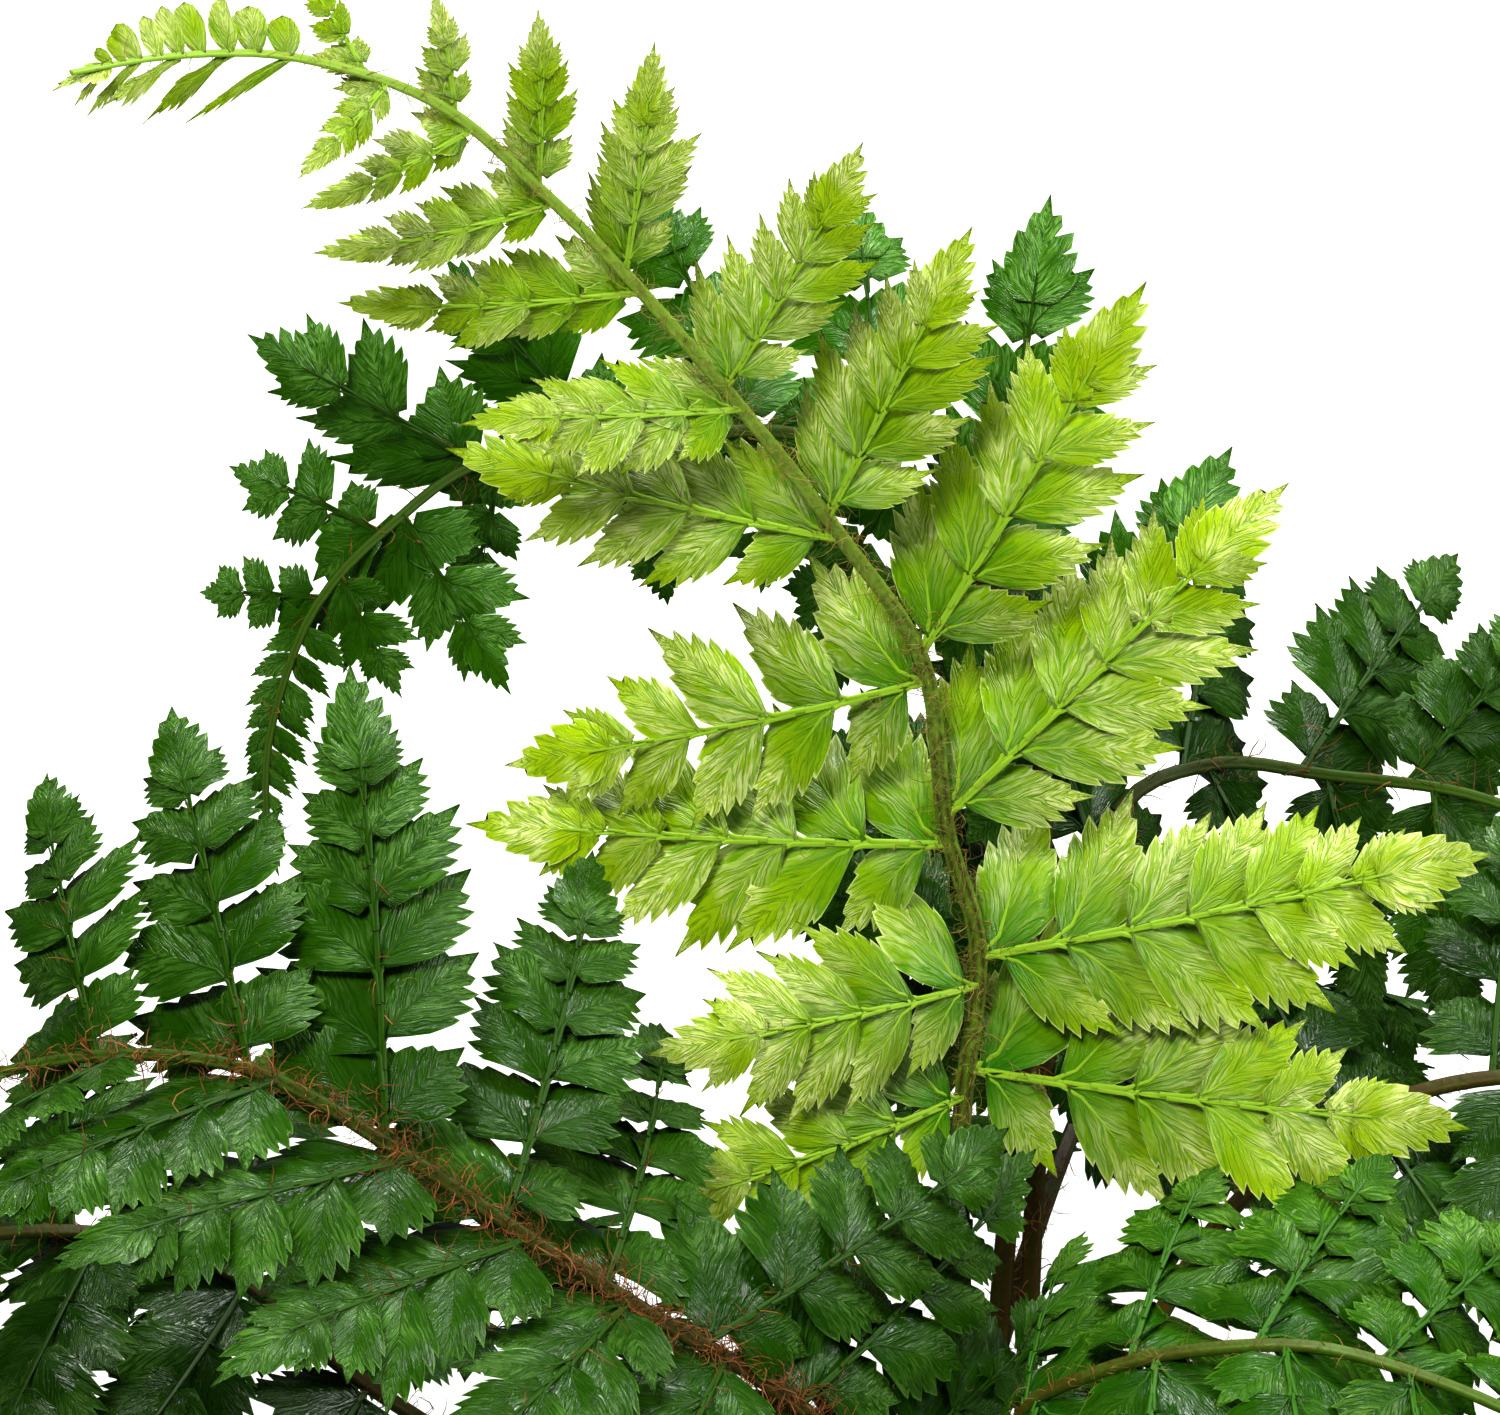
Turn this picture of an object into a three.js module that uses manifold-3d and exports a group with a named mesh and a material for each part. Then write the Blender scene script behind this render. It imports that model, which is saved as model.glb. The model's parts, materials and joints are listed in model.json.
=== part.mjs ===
// Tassel fern (Polystichum polyblepharum): a short upright crown that carries a rosette of arching fronds.
// Millimetres, +Z up. The origin is the middle of the crown's flat cut underside, which stands on a surface.
import * as THREE from "three";
import { mergeVertices } from "three/addons/utils/BufferGeometryUtils.js";
import Module from "manifold-3d";

// Blades: every pinna is one thin arched blade, cut to its rib into leaflets. A blade turns about its rib by
// BLADE_TWIST degrees. Leaflets, sag and sweep are parts of the pinna's own length.
const BLADE_THICKNESS = 0.76;
const BLADE_TWIST = 19;
const RIB_HALF_WIDTH = 0.95;
const RIB_TAPER = 0.15;
const RUN_TOGETHER_WIDTH = 0.035;
const LEAFLET_LEAN = THREE.MathUtils.degToRad(62);
const LEAFLET_CLEARANCE = THREE.MathUtils.degToRad(8);
const STEEPEST_PINNA = THREE.MathUtils.degToRad(40);
const LEAFLET_LENGTH = 0.255;
const LEAFLET_DROOP = 0.16;
const SHOULDER_REACH = 0.55;
const SHOULDER_DROOP = 0.2;
const SHORT_PINNA_BREADTH = 0.4;
const PINNA_SAG = 0.1;
const PINNA_SWEEP = 0.06;
const PINNA_TIP_DROOP = 0.02;
const LAST_LEAFLET_END = 0.86;
const LEAFLET_CROWDING = 0.16;

// Rachis: the frond's stalk, four-sided, from its foot in the crown to the frond's tip
const STALK_SIDES = 4;
const FOOT_RADIUS = 2.1;
const LOWEST_PINNA_RADIUS = 1.35;
const TIP_RADIUS = 0.55;
const STALK_STEP = 26;
const SOCKETED_LENGTH = 20;
const TIP_BLADE_LENGTH = 30;
const TIP_BLADE_LOBES = 4;
const TIP_BLADE_BREADTH = 0.72;
const TIP_BLADE_SAG = 0.02;
const BEFORE_TIP_BLADE = 6;
const PINNA_STAGGER = 3.5;
const RIB_ROOT_HALF_WIDTH = 1.1;
const LONGEST_PINNA = 61;

// Crown: the short rhizome with the stubs of old stalks round it
const CROWN_SIDES = 12;
const CROWN_PROFILE = [[0, 0], [14.5, 0], [17.4, 8], [16.2, 19], [13.6, 24], [0, 26.5]];
const SOCKET_CLEARANCE = 0.43;
const STUB_COUNT = 9;
const STUB_SIDES = 4;
const STUB_LENGTH = 9;
const STUB_RADIUS = 2.9;
const STUB_TAPER = 0.72;
const STUB_SEED = 5;
const STUB_LOWEST = 6.5;
const STUB_HIGHEST = 18.5;
const STUB_RING_RADIUS = 14;
const GOLDEN_ANGLE = THREE.MathUtils.degToRad(137.5);

const COLOURS = {
  lime: { color: "#7fb422", roughness: 0.42 },
  deep: { color: "#1f5415", roughness: 0.34 },
  leaf: { color: "#3c831c", roughness: 0.38 },
  crown: { color: "#5d3b20", roughness: 0.85 },
};

// Pinnae along a frond whose rows aren't listed, from its lowest pair to its last one: their lengths, as
// parts of the longest, and their angles to the stalk. They lift out of the frond's plane a little, and vary.
const LENGTH_PROFILE = [[0, 0.84], [0.2, 1], [0.42, 0.97], [0.65, 0.78], [0.85, 0.5], [1, 0.3]];
const ANGLE_PROFILE = [[0, 88], [0.3, 78], [0.6, 66], [1, 48]];
const PAIR_CROWDING = 0.22;
const EVEN_LIFT = 8;
const LOOSE_DEGREES = 6;
const LOOSE_LENGTH = 0.06;

// A pinna longer than the first value has the frond's full number of leaflets a side, one longer than the
// second has at most FEWER_LEAFLETS, and the shortest ones have FEWEST_LEAFLETS.
const FULL_PINNA = 34;
const MIDDLING_PINNA = 25;
const FEWER_LEAFLETS = 3;
const FEWEST_LEAFLETS = 2;

// Leaflet lengths along a pinna, on its front side (towards the frond's tip) and on its back side
const FRONT_PROFILE = [[0, 1.12], [0.25, 1], [0.5, 0.86], [0.75, 0.6], [1, 0.3]];
const BACK_PROFILE = [[0, 0.78], [0.15, 0.95], [0.4, 0.93], [0.7, 0.66], [1, 0.3]];

// Each frond: its stalk's points from the foot in the crown to the tip, and the way its upper face looks,
// as rows of [part of the length, x, y, z]. "pinnae" rows hold [place along the stalk, right angle, right
// length, right lift, left angle, left length, left lift]. Where they aren't given, "pairs" even rows follow
// the profiles, from "lowestPair", a part of the length. "longest" is the longest pinna, "leaflets" the
// number of leaflets a side on it, and "fullLeaflets" how many of them have a shoulder. "leftTwist" gives
// the twist of the left pinnae as rows of [part of the length, degrees], where it isn't the usual one.
const FRONDS = [
  {
    name: "frond_lime_tall",
    colour: "lime",
    stalk: [
      [0, 4, 14], [0, 6, 30], [-2, 11, 70], [1, 20, 119], [3, 26, 139], [-1, 30, 154], [-4, 33, 175],
      [-14, 32, 192], [-24, 30, 207], [-38, 25, 227], [-49, 18, 242], [-61, 8, 257], [-76, -4, 267],
      [-89, -14, 271], [-100, -22, 272],
    ],
    facing: [[0, 0, -1, 0.1], [0.6, 0, -1, 0.15], [0.8, -0.05, -0.9, 0.45], [1, -0.2, -0.35, 0.9]],
    pinnae: [
      [113, 91, 59, 8, 106, 43, 38],
      [127, 82, 61, 4, 101, 43, 38],
      [145, 54, 55, 4, 75, 56, 4],
      [166, 51, 50, 6, 90, 50, 6],
      [188, 57, 38, 12, 42, 46, 8],
      [210, 62, 33, 14, 46, 36, 40],
      [231, 44, 27, 10, 50, 34, 8],
      [249, 42, 20, 6, 51, 28, 10],
      [266, 46, 13, 4, 54, 22, 14],
      [281, 54, 12, 2, 50, 18, 14],
    ],
    leftTwist: [[0, 19], [0.6, 19], [0.72, 10], [1, 10]],
    leaflets: 5,
    fullLeaflets: 3,
    seed: 11,
  },
  {
    name: "frond_dark_behind",
    colour: "deep",
    stalk: [
      [4, 10, 14], [4.5, 13, 30], [7, 45, 80], [12, 64, 127], [11, 72, 152], [3, 76, 172], [-9, 76, 183],
      [-24, 72, 189], [-42, 64, 189], [-58, 55, 192], [-70, 47, 186], [-77, 42, 180], [-81, 38, 173],
      [-84, 34, 162], [-84, 31, 149],
    ],
    facing: [[0, 0, -1, 0.1], [0.6, 0, -1, 0.2], [1, -0.5, -0.85, 0.1]],
    pinnae: [
      [124, 100, 18, 0, 80, 34, 0],
      [145, 41, 46, -18, 85, 32, 0],
      [172, 41, 44, -10, 88, 28, 0],
      [192, 72, 37, -40, 95, 24, 0],
      [210, 78, 33, -30, 100, 21, 0],
      [229, 50, 31, 6, 101, 20, 0],
      [248, 47, 31, 10, 80, 18, 0],
      [263, 72, 20, -15, 76, 24, 20],
      [274, 64, 15, -6, 66, 15, 4],
    ],
    longest: 46,
    leaflets: 3,
    seed: 23,
  },
  {
    name: "frond_dark_right_back",
    colour: "deep",
    stalk: [
      [8, 6.5, 14], [8.5, 9, 30], [10, 38, 66], [13, 61, 106], [21, 76, 132], [34, 84, 137], [50, 85, 135],
      [68, 79, 135], [83, 71, 131], [96, 61, 123], [105, 51, 112],
    ],
    facing: [[0, -0.5, -0.8, 0], [0.5, 0, -0.8, 0.6], [1, 0.4, -0.8, 0.5]],
    pinnae: [
      [112, 114, 32, 0, 84, 36, 0],
      [126, 108, 27, 0, 66, 44, 0],
      [140, 98, 22, 0, 42, 51, 8],
      [157, 76, 24, 0, 60, 46, -8],
      [173, 72, 30, 4, 66, 42, -16],
      [187, 72, 32, 8, 62, 34, -6],
      [200, 66, 26, 8, 58, 26, 0],
      [211, 60, 19, 4, 54, 19, 4],
    ],
    longest: 51,
    leaflets: 3,
    seed: 37,
  },
  {
    name: "frond_dark_right",
    colour: "deep",
    stalk: [
      [4, 1, 14], [5, 1.5, 30], [16, 14, 69], [31, 24, 99], [47, 30, 112], [63, 32, 118], [80, 30, 119],
      [99, 26, 113], [120, 22, 98], [139, 18, 70], [151, 14, 36], [157, 11, 1.1],
    ],
    facing: [[0, -1, -0.1, 0], [0.5, 0, -0.5, 0.85], [1, 0.9, -0.2, 0.4]],
    pairs: 10,
    lowestPair: 0.4,
    longest: 42,
    leaflets: 3,
    seed: 41,
  },
  {
    name: "frond_green_right_front",
    colour: "leaf",
    stalk: [
      [2.5, -3.5, 14], [3, -5, 30], [2, -14, 57], [5, -24, 98], [16, -30, 112], [36, -36, 119],
      [51, -40, 118], [69, -46, 112], [85, -50, 98], [98, -54, 79], [106, -57, 58],
    ],
    facing: [[0, -1, 0.2, 0], [0.5, -0.1, -0.2, 0.95], [1, 0.7, -0.3, 0.6]],
    pairs: 8,
    lowestPair: 0.42,
    longest: 35,
    leaflets: 3,
    seed: 53,
  },
  {
    name: "frond_dark_left_front",
    colour: "deep",
    stalk: [
      [-3.5, -2.5, 14], [-4, -4, 30], [-7, -16, 58], [-13, -26, 95], [-20, -30, 108], [-38, -36, 124],
      [-49, -38, 133], [-66, -38, 146], [-82, -36, 155], [-100, -34, 156], [-118, -32, 150],
      [-137, -30, 136], [-152, -28, 114],
    ],
    facing: [[0, 1, -0.2, 0], [0.45, 0, -0.7, 0.7], [1, -0.7, -0.6, 0.4]],
    pinnae: [
      [84, 98, 40, 4, 80, 40, 30],
      [100, 112, 47, 6, 75, 44, 38],
      [116, 126, 50, 12, 66, 46, 42],
      [131, 100, 50, -30, 60, 47, 46],
      [146, 84, 53, -22, 54, 50, 44],
      [163, 59, 55, -10, 51, 50, 46],
      [181, 63, 46, -10, 54, 45, 46],
      [199, 78, 38, -8, 50, 37, 54],
      [214, 70, 30, 0, 50, 32, 58],
      [228, 60, 22, 0, 50, 23, 58],
    ],
    longest: 55,
    leaflets: 4,
    seed: 67,
  },
  {
    name: "frond_dark_left_low",
    colour: "deep",
    stalk: [
      [-10.4, 0.5, 14], [-12, 0.5, 30], [-31, 0, 48], [-53, 4, 75], [-75, 8, 91], [-90, 10, 104],
      [-110, 12, 108], [-132, 14, 102], [-155, 14, 85], [-174, 12, 58], [-187, 10, 27], [-193, 8, 1.1],
    ],
    facing: [[0, 1, 0, 0.1], [0.5, 0, -0.35, 0.95], [1, -0.9, -0.2, 0.35]],
    pairs: 10,
    lowestPair: 0.36,
    longest: 40,
    leaflets: 3,
    seed: 79,
  },
  {
    name: "frond_lime_right_front",
    colour: "lime",
    stalk: [
      [8, -6.5, 14], [9, -7.5, 30], [21, -30, 60], [42, -61, 90], [64, -87, 114], [92, -108, 117],
      [118, -121, 94], [138, -126, 50], [146, -131, 1],
    ],
    facing: [[0, -0.8, 0.6, 0], [0.5, 0, -0.1, 1], [1, 0.8, -0.6, 0.4]],
    pairs: 9,
    lowestPair: 0.56,
    longest: 37,
    leaflets: 3,
    seed: 83,
  },
  {
    name: "frond_green_front",
    colour: "leaf",
    stalk: [
      [-1, -10.4, 14], [-1.5, -12, 30], [-3, -34, 56], [-4, -64, 76], [-4, -96, 80], [-2, -126, 64],
      [0, -148, 34], [2, -159, 1.1],
    ],
    facing: [[0, 0, 1, 0.1], [0.5, 0, 0, 1], [1, 0, -1, 0.4]],
    pairs: 9,
    lowestPair: 0.38,
    longest: 38,
    leaflets: 3,
    seed: 97,
  },
  {
    name: "frond_green_left_front",
    colour: "leaf",
    stalk: [
      [-8, -6.8, 14], [-9.5, -8, 30], [-26, -24, 58], [-52, -50, 84], [-80, -76, 88], [-106, -100, 68],
      [-124, -117, 34], [-133, -126, 1.2],
    ],
    facing: [[0, 0.75, 0.66, 0.1], [0.5, 0, 0, 1], [1, -0.75, -0.66, 0.4]],
    pairs: 9,
    lowestPair: 0.38,
    longest: 38,
    leaflets: 3,
    seed: 101,
  },
  {
    name: "frond_dark_left_back",
    colour: "deep",
    stalk: [
      [-8, 6.8, 14], [-9, 8, 30], [-24, 24, 50], [-50, 50, 66], [-80, 78, 68], [-108, 104, 52],
      [-128, 122, 27], [-138, 131, 1.4],
    ],
    facing: [[0, 0.7, -0.7, 0.1], [0.5, 0, 0, 1], [1, -0.7, 0.7, 0.4]],
    pairs: 9,
    lowestPair: 0.36,
    longest: 34,
    leaflets: 3,
    seed: 113,
  },
  {
    name: "frond_dark_back",
    colour: "deep",
    stalk: [
      [-2.5, 10, 14], [-2.5, 12, 30], [2, 36, 58], [16, 74, 86], [30, 112, 92], [42, 142, 72],
      [50, 164, 38], [54, 175, 1.2],
    ],
    facing: [[0, 0, -1, 0.1], [0.5, 0, 0, 1], [1, 0.3, 0.95, 0.4]],
    pairs: 9,
    lowestPair: 0.4,
    longest: 38,
    leaflets: 3,
    seed: 127,
  },
];

const wasm = await Module();
wasm.setup();

// Numbers that look random but come out the same each time
function seededDraw(seed) {
  let state = seed;
  return () => {
    state = (state * 16807) % 2147483647;
    return state / 2147483647;
  };
}

// The value at x of a profile given as [x, value] rows, with straight stretches between them
function onProfile(rows, x) {
  for (let i = 1; i < rows.length; i += 1) {
    const [x0, y0] = rows[i - 1];
    const [x1, y1] = rows[i];
    if (x <= x1) return y0 + ((y1 - y0) * Math.max(x - x0, 0)) / (x1 - x0);
  }
  return rows[rows.length - 1][1];
}

// A growing list of points and triangles
class Surface {
  points = [];
  triangles = [];

  point(position) {
    this.points.push(position);
    return this.points.length - 1;
  }

  quad(a, b, c, d) {
    this.triangles.push(a, b, c, a, c, d);
  }

  geometry() {
    const geometry = new THREE.BufferGeometry();
    const positions = this.points.flatMap((point) => [point.x, point.y, point.z]);
    geometry.setAttribute("position", new THREE.Float32BufferAttribute(positions, 3));
    geometry.setIndex(this.triangles);
    geometry.computeVertexNormals();
    return geometry;
  }
}

// A stalk's centre line, measured by length, with the way its upper face looks all along it
class Stalk {
  constructor(frond) {
    const points = frond.stalk.map((point) => new THREE.Vector3(...point));
    this.curve = new THREE.CatmullRomCurve3(points, false, "catmullrom", 0.5);
    this.curve.arcLengthDivisions = 400;
    this.length = this.curve.getLength();
    this.facing = frond.facing;
  }

  at(distance) {
    return this.curve.getPointAt(THREE.MathUtils.clamp(distance / this.length, 0, 1));
  }

  // Along the stalk, out of its upper face, and the way its right-hand pinnae point
  axes(distance) {
    const part = THREE.MathUtils.clamp(distance / this.length, 0, 1);
    const along = this.curve.getTangentAt(part);
    const hint = [1, 2, 3].map((column) => onProfile(this.facing.map((row) => [row[0], row[column]]), part));
    const face = new THREE.Vector3(...hint);
    face.addScaledVector(along, -face.dot(along)).normalize();
    const right = new THREE.Vector3().crossVectors(along, face);
    return { along, face, right };
  }

  // The foot thins evenly up to the lowest pinna, and more slowly from there to the tip
  radius(distance, lowestPinna) {
    if (distance < lowestPinna) {
      return THREE.MathUtils.lerp(FOOT_RADIUS, LOWEST_PINNA_RADIUS, distance / lowestPinna);
    }
    const part = (distance - lowestPinna) / (this.length - lowestPinna);
    return THREE.MathUtils.lerp(LOWEST_PINNA_RADIUS, TIP_RADIUS, part);
  }
}

// The corners of a stalk's ring, from its right side's upper corner round over its upper face
const RIGHT_UPPER = 0;
const LEFT_UPPER = 1;
const LEFT_LOWER = 2;
const RIGHT_LOWER = 3;

// One ring of a stalk. Its left corners lie "stagger" nearer the foot than its right ones.
function addRing(surface, stalk, { distance, radius, stagger }) {
  const ring = [];
  for (let corner = 0; corner < STALK_SIDES; corner += 1) {
    const back = corner === LEFT_UPPER || corner === LEFT_LOWER ? stagger : 0;
    const { face, right } = stalk.axes(distance - back);
    const turn = (2 * Math.PI * (corner + 0.5)) / STALK_SIDES;
    const point = stalk.at(distance - back);
    point.addScaledVector(right, radius * Math.cos(turn)).addScaledVector(face, radius * Math.sin(turn));
    ring.push(surface.point(point));
  }
  return ring;
}

// The stalk's skin between two rings, left open on both sides where a pair of pinnae leaves it
function joinRings(surface, from, to, openSides) {
  for (let corner = 0; corner < STALK_SIDES; corner += 1) {
    const next = (corner + 1) % STALK_SIDES;
    const onSide = corner === LEFT_UPPER || corner === RIGHT_LOWER;
    if (!(openSides && onSide)) surface.quad(from[corner], to[corner], to[next], from[next]);
  }
}

function closeFoot(surface, ring) {
  for (let corner = 1; corner < STALK_SIDES - 1; corner += 1) {
    surface.triangles.push(ring[0], ring[corner], ring[corner + 1]);
  }
}

// A place that moves from 0 to 1 as "part" does, with steps that shrink on the way by "crowding"
function crowded(part, crowding) {
  return (1 + crowding) * part - crowding * part * part;
}

// How far along a pinna's leafy part a leaflet starts: closer together towards the pinna's tip
function leafletStart(part) {
  return LAST_LEAFLET_END * crowded(part, LEAFLET_CROWDING);
}

// One pinna: a rib with leaflets on both sides, as one thin arched blade that sags and bends forward to its
// tip. The blade's points come in pairs, an upper and a lower one, and both faces have the same triangles.
// "roots" are the pairs where the rib leaves the stalk, on the blade's front side and on its back side.
function addPinna(surface, roots, pinna) {
  const { root, axis, forward, face, hand, length, leaflets } = pinna;
  const place = (distance, across, height) => {
    const part = distance / length;
    const point = root.clone().addScaledVector(axis, distance);
    point.addScaledVector(forward, across + PINNA_SWEEP * length * part * part);
    point.addScaledVector(face, height - pinna.sag * length * part * part);
    return {
      upper: surface.point(point.clone().addScaledVector(face, BLADE_THICKNESS / 2)),
      lower: surface.point(point.addScaledVector(face, -BLADE_THICKNESS / 2)),
    };
  };
  const cover = (a, b, c) => {
    const [second, third] = hand > 0 ? [b, c] : [c, b];
    surface.triangles.push(a.upper, second.upper, third.upper, a.lower, third.lower, second.lower);
  };
  const wall = (a, b) => {
    const [from, to] = hand > 0 ? [a, b] : [b, a];
    surface.quad(from.upper, from.lower, to.lower, to.upper);
  };
  const startOf = (index) => THREE.MathUtils.lerp(pinna.ribStart, length, leafletStart(index / leaflets));

  const ribOn = (side, first) => {
    const rib = [first];
    for (let index = 1; index <= leaflets; index += 1) {
      const part = index / leaflets;
      const runTogether = RUN_TOGETHER_WIDTH * length * pinna.breadth * part * part;
      rib.push(place(startOf(index), side * (RIB_HALF_WIDTH * (1 - RIB_TAPER * part) + runTogether), 0));
    }
    return rib;
  };
  const front = ribOn(1, roots.front);
  const back = ribOn(-1, roots.back);
  for (let index = 0; index < leaflets; index += 1) {
    cover(back[index], back[index + 1], front[index]);
    cover(front[index], back[index + 1], front[index + 1]);
  }

  // Each leaflet is a lobe between two places on the rib, with a shoulder on the fuller ones
  for (const side of [1, -1]) {
    const rib = side > 0 ? front : back;
    const profile = side > 0 ? FRONT_PROFILE : BACK_PROFILE;
    const toStalk = side > 0 ? pinna.angle : Math.PI - pinna.angle;
    const lean = Math.min(LEAFLET_LEAN, toStalk - LEAFLET_CLEARANCE);
    for (let index = 0; index < leaflets; index += 1) {
      const start = startOf(index);
      const pitch = startOf(index + 1) - start;
      const reach = length * LEAFLET_LENGTH * pinna.breadth * onProfile(profile, index / leaflets);
      const droop = reach * LEAFLET_DROOP * pinna.wave(index, side);
      const ahead = start + 0.5 * pitch + reach * Math.cos(lean);
      const outline = [rib[index]];
      if (index < pinna.fullLeaflets) {
        const half = SHOULDER_REACH * reach;
        const across = side * half * Math.sin(lean);
        outline.push(place(start + half * Math.cos(lean), across, -SHOULDER_DROOP * droop));
      }
      outline.push(place(ahead, side * reach * Math.sin(lean), -droop), rib[index + 1]);
      const end = outline.length - 1;
      for (let corner = 1; corner < end; corner += 1) {
        if (side > 0) cover(outline[end], outline[corner], outline[corner - 1]);
        else cover(outline[end], outline[corner - 1], outline[corner]);
      }
      for (let corner = 0; corner < end; corner += 1) {
        if (side > 0) wall(outline[corner + 1], outline[corner]);
        else wall(outline[corner], outline[corner + 1]);
      }
    }
  }
  const tip = place(length, 0, -PINNA_TIP_DROOP * length);
  cover(back[leaflets], tip, front[leaflets]);
  wall(back[leaflets], tip);
  wall(tip, front[leaflets]);
}

// Evenly thinning rows of pinnae for a frond that lists none by hand
function profiledPinnae(frond, stalk, draw) {
  const first = frond.lowestPair * stalk.length;
  const last = stalk.length - TIP_BLADE_LENGTH - BEFORE_TIP_BLADE;
  const loosely = (value) => value + LOOSE_DEGREES * (draw() - 0.5);
  const side = (angle, length) => {
    const looseAngle = loosely(angle);
    const looseLength = length * (1 + LOOSE_LENGTH * (draw() - 0.5));
    return [looseAngle, looseLength, loosely(EVEN_LIFT)];
  };
  const rows = [];
  for (let pair = 0; pair < frond.pairs; pair += 1) {
    const part = crowded(pair / (frond.pairs - 1), PAIR_CROWDING);
    const angle = onProfile(ANGLE_PROFILE, part);
    const length = frond.longest * onProfile(LENGTH_PROFILE, part);
    rows.push([first + (last - first) * part, ...side(angle, length), ...side(angle, length)]);
  }
  return rows;
}

function leafletCount(length, frond) {
  if (length > FULL_PINNA) return frond.leaflets;
  if (length > MIDDLING_PINNA) return Math.min(frond.leaflets, FEWER_LEAFLETS);
  return FEWEST_LEAFLETS;
}

// A pinna's own directions. It leaves the stalk at "angle", is raised by "lift" out of the frond's plane,
// and is turned about its rib by "twist" so that its back edge stands forward over its lower neighbour.
function pinnaAxes(stalk, { from, hand, angle, lift, twist }) {
  const { along, face, right } = stalk.axes(from);
  const radians = THREE.MathUtils.degToRad(angle);
  const raised = THREE.MathUtils.degToRad(lift);
  const turn = THREE.MathUtils.degToRad(twist);
  const outward = right.clone().multiplyScalar(hand * Math.cos(raised));
  outward.addScaledVector(face, Math.sin(raised));
  const axis = along.clone().multiplyScalar(Math.cos(radians)).addScaledVector(outward, Math.sin(radians));
  const flat = new THREE.Vector3().crossVectors(axis, along).multiplyScalar(hand).normalize();
  const level = new THREE.Vector3().crossVectors(flat, axis).multiplyScalar(hand);
  const turned = flat.multiplyScalar(Math.cos(turn)).addScaledVector(level, Math.sin(turn));
  const forward = new THREE.Vector3().crossVectors(turned, axis).multiplyScalar(hand);
  return { axis, face: turned, forward, radians };
}

// A pair of pinnae between two rings of the stalk
function addPair(surface, stalk, frond, row, rings, lowest, draw) {
  const [distance, rightAngle, rightLength, rightLift, leftAngle, leftLength, leftLift] = row;
  const longest = frond.longest ?? LONGEST_PINNA;
  const leftTwist = frond.leftTwist ? onProfile(frond.leftTwist, distance / stalk.length) : BLADE_TWIST;
  const [lower, upper] = rings;
  const right = {
    hand: 1,
    from: distance,
    angle: rightAngle,
    length: rightLength,
    lift: rightLift,
    twist: BLADE_TWIST,
    corners: (ring) => ({ upper: ring[RIGHT_UPPER], lower: ring[RIGHT_LOWER] }),
  };
  const left = {
    hand: -1,
    from: distance - PINNA_STAGGER,
    angle: leftAngle,
    length: leftLength,
    lift: leftLift,
    twist: leftTwist,
    corners: (ring) => ({ upper: ring[LEFT_UPPER], lower: ring[LEFT_LOWER] }),
  };
  for (const side of [right, left]) {
    const { hand, from, length, corners } = side;
    const { axis, face, forward, radians } = pinnaAxes(stalk, side);
    const waves = Array.from({ length: 2 * frond.leaflets }, () => 0.6 + 0.8 * draw());
    addPinna(surface, { front: corners(upper), back: corners(lower) }, {
      root: stalk.at(from),
      axis,
      forward,
      face,
      hand,
      length,
      leaflets: leafletCount(length, frond),
      fullLeaflets: frond.fullLeaflets ?? 1,
      angle: Math.max(radians, STEEPEST_PINNA),
      breadth: 1 + SHORT_PINNA_BREADTH * (1 - length / longest),
      sag: PINNA_SAG,
      ribStart: stalk.radius(from, lowest) / Math.sin(radians),
      wave: (index, frontOrBack) => waves[index + (frontOrBack > 0 ? 0 : frond.leaflets)],
    });
  }
}

// The frond's last stretch, where the pinnae have run together into one lobed blade in line with the stalk
function addTipBlade(surface, stalk, ring, start) {
  const { face } = stalk.axes(start);
  const root = stalk.at(start);
  const axis = stalk.at(stalk.length).sub(root).normalize();
  const flat = face.clone().addScaledVector(axis, -face.dot(axis)).normalize();
  const roots = {
    front: { upper: ring[LEFT_UPPER], lower: ring[LEFT_LOWER] },
    back: { upper: ring[RIGHT_UPPER], lower: ring[RIGHT_LOWER] },
  };
  addPinna(surface, roots, {
    root,
    axis,
    forward: new THREE.Vector3().crossVectors(flat, axis),
    face: flat,
    hand: 1,
    length: root.distanceTo(stalk.at(stalk.length)),
    leaflets: TIP_BLADE_LOBES,
    fullLeaflets: 0,
    angle: Math.PI / 2,
    breadth: TIP_BLADE_BREADTH,
    sag: TIP_BLADE_SAG,
    ribStart: 0,
    wave: () => 1,
  });
}

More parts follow.
